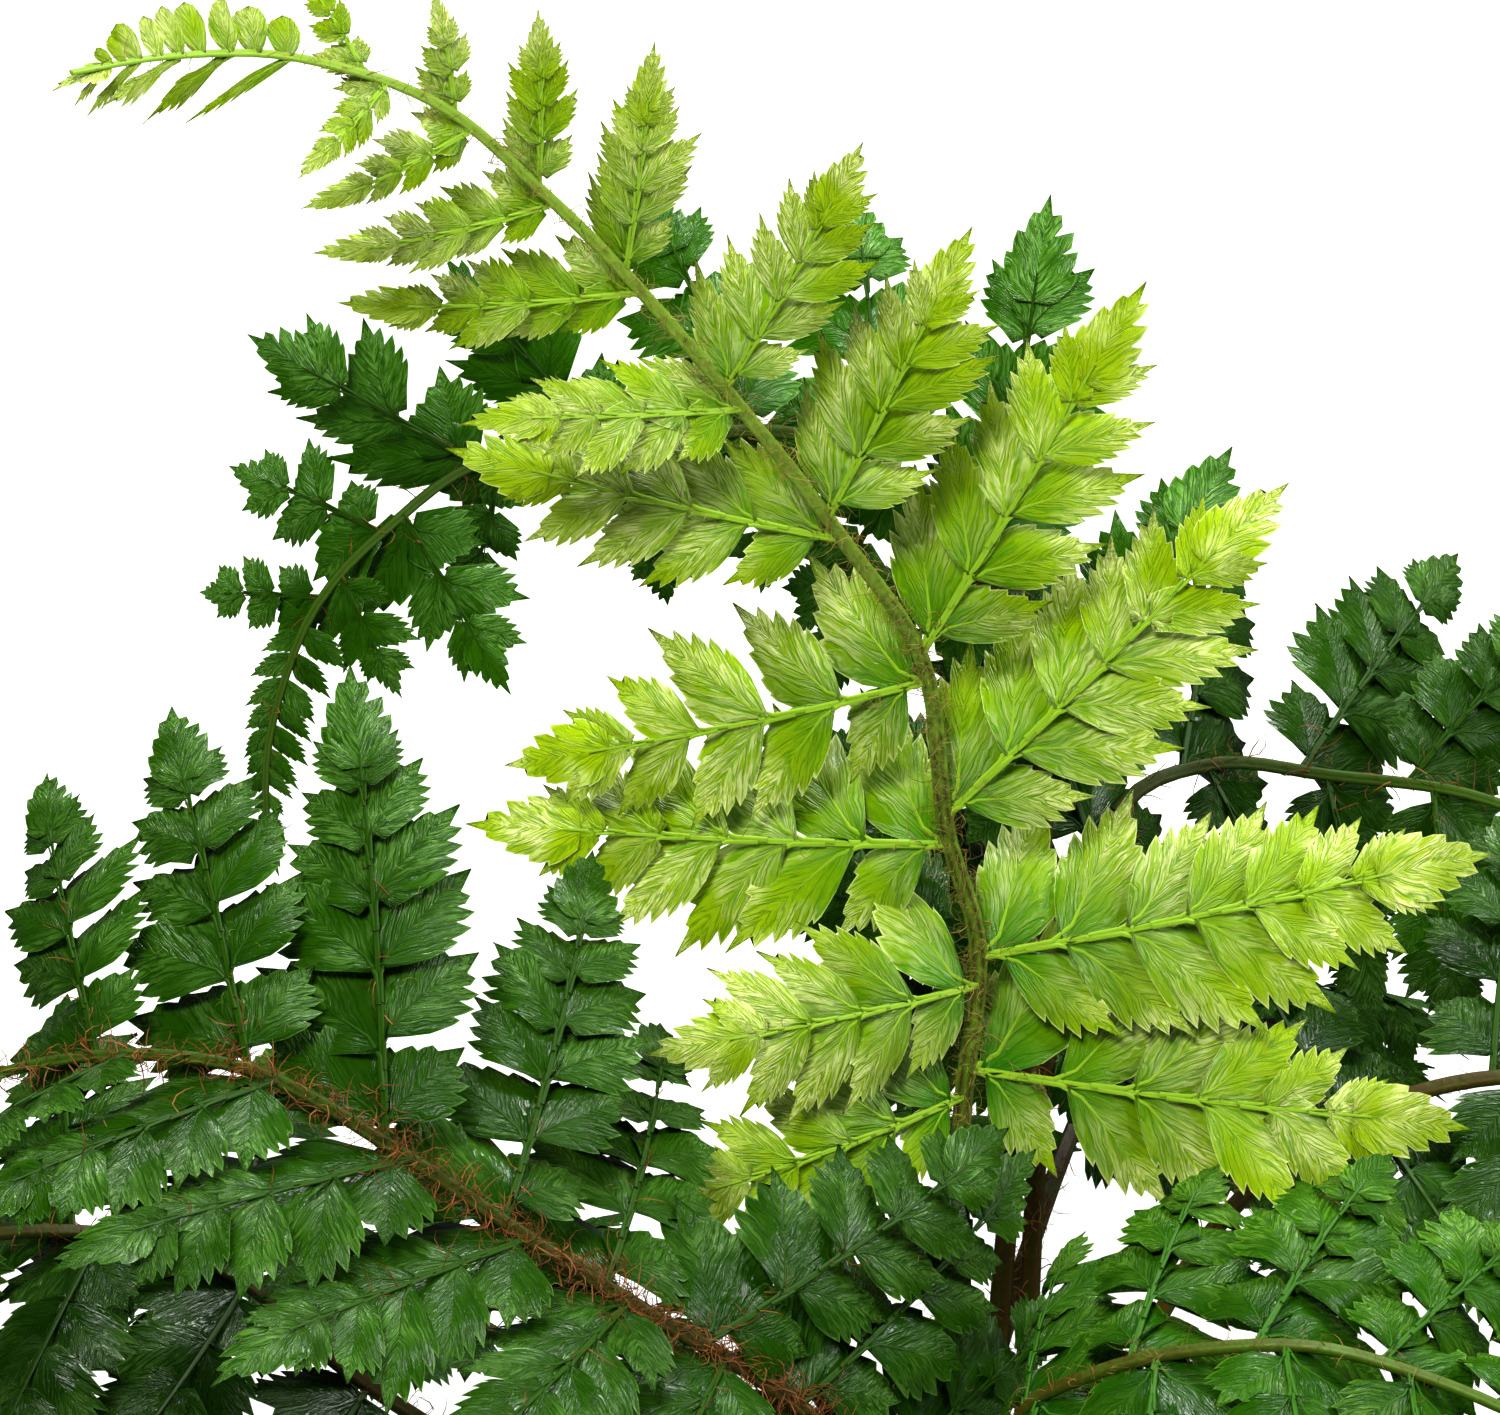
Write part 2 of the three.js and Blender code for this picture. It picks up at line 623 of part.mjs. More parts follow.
function frondGeometry(frond) {
  const surface = new Surface();
  const stalk = new Stalk(frond);
  const draw = seededDraw(frond.seed);
  const rows = frond.pinnae ?? profiledPinnae(frond, stalk, draw);
  const lowest = rows[0][0];
  const ringAt = (distance, stagger) =>
    addRing(surface, stalk, { distance, radius: stalk.radius(distance, lowest), stagger });

  // The bare stalk
  const bareEnd = lowest - STALK_STEP / 2;
  const distances = [0, SOCKETED_LENGTH / 2, SOCKETED_LENGTH];
  const steps = Math.round((bareEnd - SOCKETED_LENGTH) / STALK_STEP);
  for (let step = 1; step <= steps; step += 1) {
    distances.push(THREE.MathUtils.lerp(SOCKETED_LENGTH, bareEnd, step / steps));
  }
  const rings = distances.map((distance) => ringAt(distance, 0));
  closeFoot(surface, rings[0]);
  for (let index = 1; index < rings.length; index += 1) {
    joinRings(surface, rings[index - 1], rings[index], false);
  }

  // The leafy part: every pair of pinnae leaves the stalk between two rings
  let last = rings[rings.length - 1];
  for (const row of rows) {
    const lower = ringAt(row[0] - RIB_ROOT_HALF_WIDTH, PINNA_STAGGER);
    const upper = ringAt(row[0] + RIB_ROOT_HALF_WIDTH, PINNA_STAGGER);
    joinRings(surface, last, lower, false);
    joinRings(surface, lower, upper, true);
    addPair(surface, stalk, frond, row, [lower, upper], lowest, draw);
    last = upper;
  }
  const start = stalk.length - TIP_BLADE_LENGTH;
  const end = ringAt(start, 0);
  joinRings(surface, last, end, false);
  addTipBlade(surface, stalk, end, start);
  return { geometry: surface.geometry(), stalk, lowest };
}

// A closed plug round a stalk's foot, a little larger than the foot, that cuts its socket
function socketGeometry({ stalk, lowest }) {
  const surface = new Surface();
  const below = stalk.axes(0).along.multiplyScalar(-SOCKET_CLEARANCE);
  const rings = [0, SOCKETED_LENGTH / 2, SOCKETED_LENGTH].map((distance) => {
    const radius = stalk.radius(distance, lowest) + SOCKET_CLEARANCE;
    return addRing(surface, stalk, { distance, radius, stagger: 0 });
  });
  for (const corner of rings[0]) surface.points[corner].add(below);
  closeFoot(surface, rings[0]);
  joinRings(surface, rings[0], rings[1], false);
  joinRings(surface, rings[1], rings[2], false);
  closeFoot(surface, [...rings[2]].reverse());
  return surface.geometry();
}

// A stub of an old stalk: a tapered peg that leans out from the crown and up
function stubGeometry(number, draw) {
  const turn = number * GOLDEN_ANGLE;
  const height = THREE.MathUtils.lerp(STUB_LOWEST, STUB_HIGHEST, number / (STUB_COUNT - 1));
  const peg = new THREE.CylinderGeometry(STUB_RADIUS * STUB_TAPER, STUB_RADIUS, STUB_LENGTH, STUB_SIDES);
  peg.rotateX(Math.PI / 2);
  const outward = new THREE.Vector3(Math.cos(turn), Math.sin(turn), 0);
  const slope = new THREE.Vector3(0, 0, 1).addScaledVector(outward, 0.75 + 0.3 * draw()).normalize();
  peg.applyQuaternion(new THREE.Quaternion().setFromUnitVectors(new THREE.Vector3(0, 0, 1), slope));
  const seat = outward.multiplyScalar(STUB_RING_RADIUS).setZ(height);
  peg.translate(seat.x, seat.y, seat.z);
  return peg;
}

function toSolid(geometry) {
  const bare = geometry.clone();
  bare.deleteAttribute("normal");
  bare.deleteAttribute("uv");
  const merged = mergeVertices(bare, 1e-4);
  const mesh = new wasm.Mesh({
    numProp: 3,
    vertProperties: new Float32Array(merged.attributes.position.array),
    triVerts: new Uint32Array(merged.index.array),
  });
  return new wasm.Manifold(mesh);
}

// The crown's body and stubs joined, with a socket cut for every stalk
function crownGeometry(grownFronds) {
  const profile = CROWN_PROFILE.map(([radius, height]) => new THREE.Vector2(radius, height));
  const body = new THREE.LatheGeometry(profile, CROWN_SIDES);
  body.rotateX(Math.PI / 2);
  const draw = seededDraw(STUB_SEED);
  let crown = toSolid(body);
  for (let number = 0; number < STUB_COUNT; number += 1) {
    crown = crown.add(toSolid(stubGeometry(number, draw)));
  }
  for (const grown of grownFronds) {
    crown = crown.subtract(toSolid(socketGeometry(grown)));
  }
  const mesh = crown.getMesh();
  const geometry = new THREE.BufferGeometry();
  geometry.setAttribute("position", new THREE.Float32BufferAttribute(mesh.vertProperties, 3));
  geometry.setIndex(Array.from(mesh.triVerts));
  geometry.computeVertexNormals();
  return geometry;
}

function meshOf(name, geometry, colour) {
  const material = new THREE.MeshStandardMaterial({ ...COLOURS[colour], metalness: 0 });
  const mesh = new THREE.Mesh(geometry, material);
  mesh.name = name;
  return mesh;
}

const fern = new THREE.Group();
const grownFronds = FRONDS.map(frondGeometry);
fern.add(meshOf("crown", crownGeometry(grownFronds), "crown"));
FRONDS.forEach((frond, number) => fern.add(meshOf(frond.name, grownFronds[number].geometry, frond.colour)));

export default fern;
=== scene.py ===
"""Tassel fern (Polystichum polyblepharum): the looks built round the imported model.

Every frond grows the same way as its solid: a stalk on a smooth curve, with pinnae in rows along it. Here a
pinna is a fine rib with single toothed leaflets on both sides. Sizes are in millimetres until a mesh is made.
"""
import json
import math
import random

import bpy
import numpy as np
from mathutils import Matrix, Quaternion, Vector

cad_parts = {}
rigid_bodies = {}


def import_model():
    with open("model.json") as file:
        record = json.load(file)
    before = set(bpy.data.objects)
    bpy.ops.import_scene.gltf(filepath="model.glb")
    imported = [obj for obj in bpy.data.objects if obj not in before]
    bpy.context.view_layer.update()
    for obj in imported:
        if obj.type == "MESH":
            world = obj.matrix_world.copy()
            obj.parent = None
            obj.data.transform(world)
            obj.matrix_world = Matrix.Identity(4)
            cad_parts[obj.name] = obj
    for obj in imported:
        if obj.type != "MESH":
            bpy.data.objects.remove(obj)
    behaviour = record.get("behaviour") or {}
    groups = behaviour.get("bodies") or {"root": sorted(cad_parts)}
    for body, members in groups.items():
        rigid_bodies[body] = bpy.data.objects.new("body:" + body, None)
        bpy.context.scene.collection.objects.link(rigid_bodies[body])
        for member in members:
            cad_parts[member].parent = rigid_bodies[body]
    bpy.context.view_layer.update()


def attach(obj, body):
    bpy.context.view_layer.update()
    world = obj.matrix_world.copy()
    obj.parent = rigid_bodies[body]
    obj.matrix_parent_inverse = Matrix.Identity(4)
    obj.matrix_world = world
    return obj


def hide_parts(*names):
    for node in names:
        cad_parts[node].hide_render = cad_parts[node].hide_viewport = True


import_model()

MM = 0.001

# The photograph's frame, and the camera that sees the plant as it does
IMAGE_WIDTH = 1500
SENSOR_WIDTH = 36
CAMERA_TARGET = (-25, 20, 175)
CAMERA_DISTANCE = 1000
CAMERA_ELEVATION = math.radians(25)
FOCAL_PIXELS = 8333.3

# Pinnae, by the same rules as in the solids
BLADE_TWIST = 19
LEAFLET_CLEARANCE = math.radians(8)
STEEPEST_PINNA = math.radians(40)
LEAFLET_LENGTH = 0.255
SHORT_PINNA_BREADTH = 0.4
PINNA_SAG = 0.1
PINNA_SWEEP = 0.06
LAST_LEAFLET_END = 0.86
LEAFLET_CROWDING = 0.16
FRONT_PROFILE = [(0, 1.12), (0.25, 1), (0.5, 0.86), (0.75, 0.6), (1, 0.3)]
BACK_PROFILE = [(0, 0.78), (0.15, 0.95), (0.4, 0.93), (0.7, 0.66), (1, 0.3)]
LENGTH_PROFILE = [(0, 0.84), (0.2, 1), (0.42, 0.97), (0.65, 0.78), (0.85, 0.5), (1, 0.3)]
ANGLE_PROFILE = [(0, 88), (0.3, 78), (0.6, 66), (1, 48)]
PAIR_CROWDING = 0.22
EVEN_LIFT = 8
LOOSE_DEGREES = 6
LOOSE_LENGTH = 0.06
PINNA_STAGGER = 3.5
LONGEST_PINNA = 61
TIP_BLADE_LENGTH = 30
TIP_BLADE_BREADTH = 0.72
TIP_LEAFLETS = 9
BEFORE_TIP_BLADE = 6

# Stalks. A stalk's section is wider than its radius, so its radius is drawn smaller than the solid's.
FOOT_RADIUS = 2.1
LOWEST_PINNA_RADIUS = 1.35
TIP_RADIUS = 0.55
DRAWN_RADIUS = 0.72
STALK_STEP = 3
RIB_RADIUS = 0.5
RIB_TIP_RADIUS = 0.12
THINNEST_RIB = 0.6
RIB_SHORT_OF_END = 0.02
RIB_SUNK = 0.12

# Leaflets: on a long pinna one stands about every 9 mm, and they are closer on a short one
LEAFLET_EVERY = [(12, 4), (24, 5.4), (36, 7.4), (50, 9.2)]
FEWEST_LEAFLETS = 3
SHORTEST_LEAFLET = 2.2
LEAFLET_GAIN = 1.18
LOOSE_LEAFLET = (0.91, 0.18)
SLIMMEST_LEAFLET = 0.55
ABOVE_RIB = 0.15

# How far leaflets lean away from the rib, in degrees, along a pinna
FRONT_LEAN = [(0, 70), (0.13, 56), (0.3, 49), (0.6, 42), (1, 31)]
BACK_LEAN = [(0, 43), (0.3, 44), (0.6, 39), (1, 31)]
LOOSE_LEAN = 8
LEAFLET_DROOP = math.radians(6)
LOOSE_DROOP = (0.3, 1.6)
LEAFLET_ROLL = math.radians(7)
LOOSE_ROLL = (0.6, 0.9)
LOOSE_ARCH = (0.8, 0.6)

# Where a leaflet stands in its own stretch of the rib
FRONT_SEAT = 0.12
BACK_SEAT = 0.22
LOOSE_SEAT = 0.12

# A leaflet's width in stretches of the rib, and the part of the pinna from which leaflets have broad bases
PACKING = 1.22
MERGE_FROM = 0.62

# Grown fronds have leaflets that crowd towards a pinna's tip, with broad bases on more of it. A slim pinna is
# one below this share of its usual breadth, and its leaflets overlap more.
GROWN_CROWDING = 0.3
GROWN_MERGE_FROM = 0.45
SLIM_BELOW = 0.9
SLIM_PACKING = 1.65

# The leaflet at a pinna's end
END_LEAFLET_GAIN = 1.12
END_LEAFLET_BREADTH = 0.64
END_LEAFLET_FULLEST = 1.15
END_LEAFLET_SUNK = 0.1

# Crown
CROWN_PROFILE = [(0, 0), (14.5, 0), (17.4, 8), (16.2, 19), (13.6, 24), (0, 26.5)]
STUB_COUNT = 9
STUB_LENGTH = 9
STUB_RADIUS = 2.9
STUB_LOWEST = 6.5
STUB_HIGHEST = 18.5
STUB_RING_RADIUS = 14
STUB_SEED = 5
GOLDEN_ANGLE = math.radians(137.5)

# The leaflets of most fronds that follow even rows
GROWN_LEAFLETS = {"fullness": 1.5, "reach": 1.12, "arch": 1.4, "leaflet_share": 0.85}

# Each frond: its stalk's points from the foot to the tip, and the way its upper face looks, as rows of (part
# of the length, x, y, z). "pinnae" rows hold (place along the stalk, right angle, right length, right lift,
# left angle, left length, left lift). Where they aren't given, "pairs" even rows follow the profiles. Of the
# leaflets, "fullness" multiplies the width, "reach" the length, "arch" the bend and "leaflet_share" the
# number, and the frond's tone value makes them lighter or darker: painted light on a frond that lies in
# light, painted shade on fronds that lie in shade. "scales" is how many the stalk and ribs have.
FRONDS = [
    {
        "name": "frond_lime_tall", "leaf": "lime", "detail": "fine", "seed": 11,
        "stalk": [
            (0, 4, 14), (0, 6, 30), (-2, 11, 70), (1, 20, 119), (3, 26, 139), (-1, 30, 154), (-4, 33, 175),
            (-14, 32, 192), (-24, 30, 207), (-38, 25, 227), (-49, 18, 242), (-61, 8, 257), (-76, -4, 267),
            (-89, -14, 271), (-100, -22, 272),
        ],
        "facing": [(0, 0, -1, 0.1), (0.6, 0, -1, 0.15), (0.8, -0.05, -0.9, 0.45), (1, -0.2, -0.35, 0.9)],
        "pinnae": [
            (113, 91, 59, 8, 106, 43, 38),
            (127, 82, 61, 4, 101, 43, 38),
            (145, 54, 55, 4, 75, 56, 4),
            (166, 51, 50, 6, 90, 50, 6),
            (188, 57, 38, 12, 42, 46, 8),
            (210, 62, 33, 14, 46, 36, 40),
            (231, 44, 27, 10, 50, 34, 8),
            (249, 42, 20, 6, 51, 28, 10),
            (266, 46, 13, 4, 54, 22, 14),
            (281, 54, 12, 2, 50, 18, 14),
        ],
        "left_twist": [(0, 19), (0.6, 19), (0.72, 10), (1, 10)],
        "left_narrow": [(0, 1), (0.56, 1), (0.66, 0.76), (0.85, 0.66), (1, 0.6)],
        "right_narrow": [(0, 1), (0.56, 1), (0.7, 0.86), (1, 0.78)], "young_tip": True,
        "fullness": 1.03, "reach": 1.05,
    },
    {
        "name": "frond_dark_behind", "leaf": "dark", "detail": "medium", "seed": 23,
        "stalk": [
            (4, 10, 14), (4.5, 13, 30), (7, 45, 80), (12, 64, 127), (11, 72, 152), (3, 76, 172),
            (-9, 76, 183), (-24, 72, 189), (-42, 64, 189), (-58, 55, 192), (-70, 47, 186), (-77, 42, 180),
            (-81, 38, 173), (-84, 34, 162), (-84, 31, 149),
        ],
        "facing": [(0, 0, -1, 0.1), (0.6, 0, -1, 0.2), (1, -0.5, -0.85, 0.1)],
        "pinnae": [
            (124, 100, 18, 0, 80, 34, 0),
            (145, 41, 46, -18, 85, 32, 0),
            (172, 41, 44, -10, 88, 28, 0),
            (192, 72, 37, -40, 95, 24, 0),
            (210, 78, 33, -30, 100, 21, 0),
            (229, 50, 31, 6, 101, 20, 0),
            (248, 47, 31, 10, 80, 18, 0),
            (263, 72, 20, -15, 76, 24, 20),
            (274, 64, 15, -6, 66, 15, 4),
        ],
        "longest": 46, "fullness": 1.3, "reach": 1.15, "arch": 1.3, "leaflet_share": 0.66, "tone": 1.7,
        "lobed": True,
    },
    {
        "name": "frond_dark_right_back", "leaf": "dark", "detail": "medium", "seed": 37,
        "stalk": [
            (8, 6.5, 14), (8.5, 9, 30), (10, 38, 66), (13, 61, 106), (21, 76, 132), (34, 84, 137),
            (50, 85, 135), (68, 79, 135), (83, 71, 131), (96, 61, 123), (105, 51, 112),
        ],
        "facing": [(0, -0.5, -0.8, 0), (0.5, 0, -0.8, 0.6), (1, 0.4, -0.8, 0.5)],
        "pinnae": [
            (112, 114, 32, 0, 84, 36, 0),
            (126, 108, 27, 0, 66, 44, 0),
            (140, 98, 22, 0, 42, 51, 8),
            (157, 76, 24, 0, 60, 46, -8),
            (173, 72, 30, 4, 66, 42, -16),
            (187, 72, 32, 8, 62, 34, -6),
            (200, 66, 26, 8, 58, 26, 0),
            (211, 60, 19, 4, 54, 19, 4),
        ],
        "longest": 51, "fullness": 1.5, "arch": 1.5, "tone": -0.5,
    },
    {
        "name": "frond_dark_right", "leaf": "dark", "detail": "plain", "seed": 41,
        "stalk": [
            (4, 1, 14), (5, 1.5, 30), (16, 14, 69), (31, 24, 99), (47, 30, 112), (63, 32, 118),
            (80, 30, 119), (99, 26, 113), (120, 22, 98), (139, 18, 70), (151, 14, 36), (157, 11, 1.1),
        ],
        "facing": [(0, -1, -0.1, 0), (0.5, 0, -0.5, 0.85), (1, 0.9, -0.2, 0.4)],
        "pairs": 10, "lowest_pair": 0.4, "longest": 42, **GROWN_LEAFLETS, "arch": 1.5, "tone": -0.9,
    },
    {
        "name": "frond_green_right_front", "leaf": "green", "detail": "medium", "seed": 53,
        "stalk": [
            (2.5, -3.5, 14), (3, -5, 30), (2, -14, 57), (5, -24, 98), (16, -30, 112), (36, -36, 119),
            (51, -40, 118), (69, -46, 112), (85, -50, 98), (98, -54, 79), (106, -57, 58),
        ],
        "facing": [(0, -1, 0.2, 0), (0.5, -0.1, -0.2, 0.95), (1, 0.7, -0.3, 0.6)],
        "pairs": 8, "lowest_pair": 0.42, "longest": 35, "fullness": 1.6, "reach": 1.3, "arch": 2.2,
        "leaflet_share": 0.9, "tone": -0.3,
    },
    {
        "name": "frond_dark_left_front", "leaf": "dark", "detail": "fine", "seed": 67, "scales": 3600,
        "stalk": [
            (-3.5, -2.5, 14), (-4, -4, 30), (-7, -16, 58), (-13, -26, 95), (-20, -30, 108), (-38, -36, 124),
            (-49, -38, 133), (-66, -38, 146), (-82, -36, 155), (-100, -34, 156), (-118, -32, 150),
            (-137, -30, 136), (-152, -28, 114),
        ],
        "facing": [(0, 1, -0.2, 0), (0.45, 0, -0.7, 0.7), (1, -0.7, -0.6, 0.4)],
        "pinnae": [
            (84, 98, 40, 4, 80, 40, 30),
            (100, 112, 47, 6, 75, 44, 38),
            (116, 126, 50, 12, 66, 46, 42),
            (131, 100, 50, -30, 60, 47, 46),
            (146, 84, 53, -22, 54, 50, 44),
            (163, 59, 55, -10, 51, 50, 46),
            (181, 63, 46, -10, 54, 45, 46),
            (199, 78, 38, -8, 50, 37, 54),
            (214, 70, 30, 0, 50, 32, 58),
            (228, 60, 22, 0, 50, 23, 58),
        ],
        "longest": 55, "fullness": 1.45, "reach": 0.94, "arch": 1.2, "tone": -0.25,
    },
    {
        "name": "frond_dark_left_low", "leaf": "dark", "detail": "plain", "seed": 79, "scales": 500,
        "stalk": [
            (-10.4, 0.5, 14), (-12, 0.5, 30), (-31, 0, 48), (-53, 4, 75), (-75, 8, 91), (-90, 10, 104),
            (-110, 12, 108), (-132, 14, 102), (-155, 14, 85), (-174, 12, 58), (-187, 10, 27),
            (-193, 8, 1.1),
        ],
        "facing": [(0, 1, 0, 0.1), (0.5, 0, -0.35, 0.95), (1, -0.9, -0.2, 0.35)],
        "pairs": 10, "lowest_pair": 0.36, "longest": 40, **GROWN_LEAFLETS, "arch": 1.5, "tone": -0.5,
    },
    {
        "name": "frond_lime_right_front", "leaf": "lime", "detail": "plain", "seed": 83,
        "stalk": [
            (8, -6.5, 14), (9, -7.5, 30), (21, -30, 60), (42, -61, 90), (64, -87, 114), (92, -108, 117),
            (118, -121, 94), (138, -126, 50), (146, -131, 1),
        ],
        "facing": [(0, -0.8, 0.6, 0), (0.5, 0, -0.1, 1), (1, 0.8, -0.6, 0.4)],
        "pairs": 9, "lowest_pair": 0.56, "longest": 37, "fullness": 1.15,
    },
    {
        "name": "frond_green_front", "leaf": "green", "detail": "plain", "seed": 97,
        "stalk": [
            (-1, -10.4, 14), (-1.5, -12, 30), (-3, -34, 56), (-4, -64, 76), (-4, -96, 80), (-2, -126, 64),
            (0, -148, 34), (2, -159, 1.1),
        ],
        "facing": [(0, 0, 1, 0.1), (0.5, 0, 0, 1), (1, 0, -1, 0.4)],
        "pairs": 9, "lowest_pair": 0.38, "longest": 38, **GROWN_LEAFLETS,
    },
    {
        "name": "frond_green_left_front", "leaf": "green", "detail": "plain", "seed": 101,
        "stalk": [
            (-8, -6.8, 14), (-9.5, -8, 30), (-26, -24, 58), (-52, -50, 84), (-80, -76, 88),
            (-106, -100, 68), (-124, -117, 34), (-133, -126, 1.2),
        ],
        "facing": [(0, 0.75, 0.66, 0.1), (0.5, 0, 0, 1), (1, -0.75, -0.66, 0.4)],
        "pairs": 9, "lowest_pair": 0.38, "longest": 38, **GROWN_LEAFLETS,
    },
    {
        "name": "frond_dark_left_back", "leaf": "dark", "detail": "plain", "seed": 113,
        "stalk": [
            (-8, 6.8, 14), (-9, 8, 30), (-24, 24, 50), (-50, 50, 66), (-80, 78, 68), (-108, 104, 52),
            (-128, 122, 27), (-138, 131, 1.4),
        ],
        "facing": [(0, 0.7, -0.7, 0.1), (0.5, 0, 0, 1), (1, -0.7, 0.7, 0.4)],
        "pairs": 9, "lowest_pair": 0.36, "longest": 34, **GROWN_LEAFLETS,
    },
    {
        "name": "frond_dark_back", "leaf": "dark", "detail": "plain", "seed": 127,
        "stalk": [
            (-2.5, 10, 14), (-2.5, 12, 30), (2, 36, 58), (16, 74, 86), (30, 112, 92), (42, 142, 72),
            (50, 164, 38), (54, 175, 1.2),
        ],
        "facing": [(0, 0, -1, 0.1), (0.5, 0, 0, 1), (1, 0.3, 0.95, 0.4)],
        "pairs": 9, "lowest_pair": 0.4, "longest": 38, **GROWN_LEAFLETS,
    },
]


def linear(colour):
    """An sRGB hex colour as a linear RGBA."""
    channels = [int(colour[i:i + 2], 16) / 255 for i in (1, 3, 5)]
    return [c / 12.92 if c <= 0.04045 else ((c + 0.055) / 1.055) ** 2.4 for c in channels] + [1]


def add(tree, kind, inputs=None, **settings):
    """Adds a node with its settings. An input is given a value, or is linked to another node's output."""
    node = tree.nodes.new(kind)
    for name, value in settings.items():
        setattr(node, name, value)
    for socket, value in (inputs or {}).items():
        if isinstance(value, bpy.types.NodeSocket):
            tree.links.new(value, node.inputs[socket])
        else:
            node.inputs[socket].default_value = value
    return node


def placed(name, data):
    """A new object in the scene, at the origin."""
    thing = bpy.data.objects.new(name, data)
    bpy.context.scene.collection.objects.link(thing)
    return thing


def mesh_of(name, points, edges=(), faces=()):
    mesh = bpy.data.meshes.new(name)
    mesh.from_pydata(points, edges, faces)
    mesh.update()
    return mesh


def write_attribute(mesh, name, values, kind="FLOAT", field="value"):
    """Gives each of a mesh's points a named value that a node tree or a material can read."""
    mesh.attributes.new(name, kind, "POINT").data.foreach_set(field, values)


def seeded_draw(seed):
    """The same even numbers between 0 and 1 as the solids are grown by."""
    state = seed
    while True:
        state = (state * 16807) % 2147483647
        yield state / 2147483647


def on_profile(rows, x):
    return float(np.interp(x, [row[0] for row in rows], [row[1] for row in rows]))


def crowded(part, crowding):
    return (1 + crowding) * part - crowding * part * part


def unit(vector):
    return vector / np.linalg.norm(vector)


def loosely(draw, spread):
    """A random amount from the first number up to the sum of both."""
    least, more = spread
    return least + more * draw.random()


# The stalk's curve, and the frame of every pinna on it

class Stalk:
    """A frond's centre line, measured by length, with the way its upper face looks all along it."""
    STEPS = 3000

    def __init__(self, frond):
        points = np.array(frond["stalk"], float)
        ends = (2 * points[0] - points[1], 2 * points[-1] - points[-2])
        padded = np.vstack([ends[0], points, ends[1]])
        spans = len(points) - 1
        t = np.linspace(0, spans, self.STEPS + 1)
        k = np.minimum(t.astype(int), spans - 1)
        w = (t - k)[:, None]
        p0, p1, p2, p3 = (padded[k + i] for i in range(4))
        a, b = (p2 - p0) / 2, (p3 - p1) / 2
        self.places = (
            p1 + a * w + (3 * (p2 - p1) - 2 * a - b) * w ** 2 + (2 * (p1 - p2) + a + b) * w ** 3
        )
        steps = np.linalg.norm(np.diff(self.places, axis=0), axis=1)
        self.distances = np.concatenate([[0], np.cumsum(steps)])
        self.length = self.distances[-1]
        self.facing = np.array(frond["facing"], float)

    def at(self, distance):
        return np.array([np.interp(distance, self.distances, self.places[:, i]) for i in range(3)])

    def axes(self, distance):
        """Along the stalk, out of its upper face, and the way its right-hand pinnae point."""
        distance = min(max(distance, 0.0), self.length)
        step = self.length / self.STEPS * 2
        low, high = max(distance - step, 0), min(distance + step, self.length)
        along = unit(self.at(high) - self.at(low))
        part = distance / self.length
        hint = np.array([np.interp(part, self.facing[:, 0], self.facing[:, i]) for i in (1, 2, 3)])
        face = unit(hint - along * hint.dot(along))
        return along, face, np.cross(along, face)

    def radius(self, distance, lowest):
        if distance < lowest:
            return FOOT_RADIUS + (LOWEST_PINNA_RADIUS - FOOT_RADIUS) * distance / lowest
        part = (distance - lowest) / (self.length - lowest)
        return LOWEST_PINNA_RADIUS + (TIP_RADIUS - LOWEST_PINNA_RADIUS) * part


def even_rows(frond, stalk, draw):
    """Evenly thinning rows of pinnae for a frond that lists none."""
    first = frond["lowest_pair"] * stalk.length
    last = stalk.length - TIP_BLADE_LENGTH - BEFORE_TIP_BLADE
    rows = []
    for pair in range(frond["pairs"]):
        part = crowded(pair / (frond["pairs"] - 1), PAIR_CROWDING)
        row = [first + (last - first) * part]
        for _ in range(2):
            row.append(on_profile(ANGLE_PROFILE, part) + LOOSE_DEGREES * (next(draw) - 0.5))
            length = frond["longest"] * on_profile(LENGTH_PROFILE, part)
            row.append(length * (1 + LOOSE_LENGTH * (next(draw) - 0.5)))
            row.append(EVEN_LIFT + LOOSE_DEGREES * (next(draw) - 0.5))
        rows.append(row)
    return rows


class LeafletRow:
    """What carries leaflets on both its sides, and how they stand unless a frond's rules say otherwise. What
    differs between the sides is kept by the side's sign, which is 1 at the front."""
    hand = 1
    fullness = reach = arch = 1
    packing, crowding, merge_from = PACKING, LEAFLET_CROWDING, MERGE_FROM
    every = leaning = {1: 1, -1: 1}
    lift = {1: 0, -1: 0}
    drawn_out = {1: (1, 1), -1: (1, 1)}
    shapes = {1: None, -1: None}

    def start_of(self, part):
        """Where the stretch of the leaflet at a part of the row starts."""
        room = (self.length - self.rib_start) * LAST_LEAFLET_END
        return self.rib_start + room * crowded(part, self.crowding)


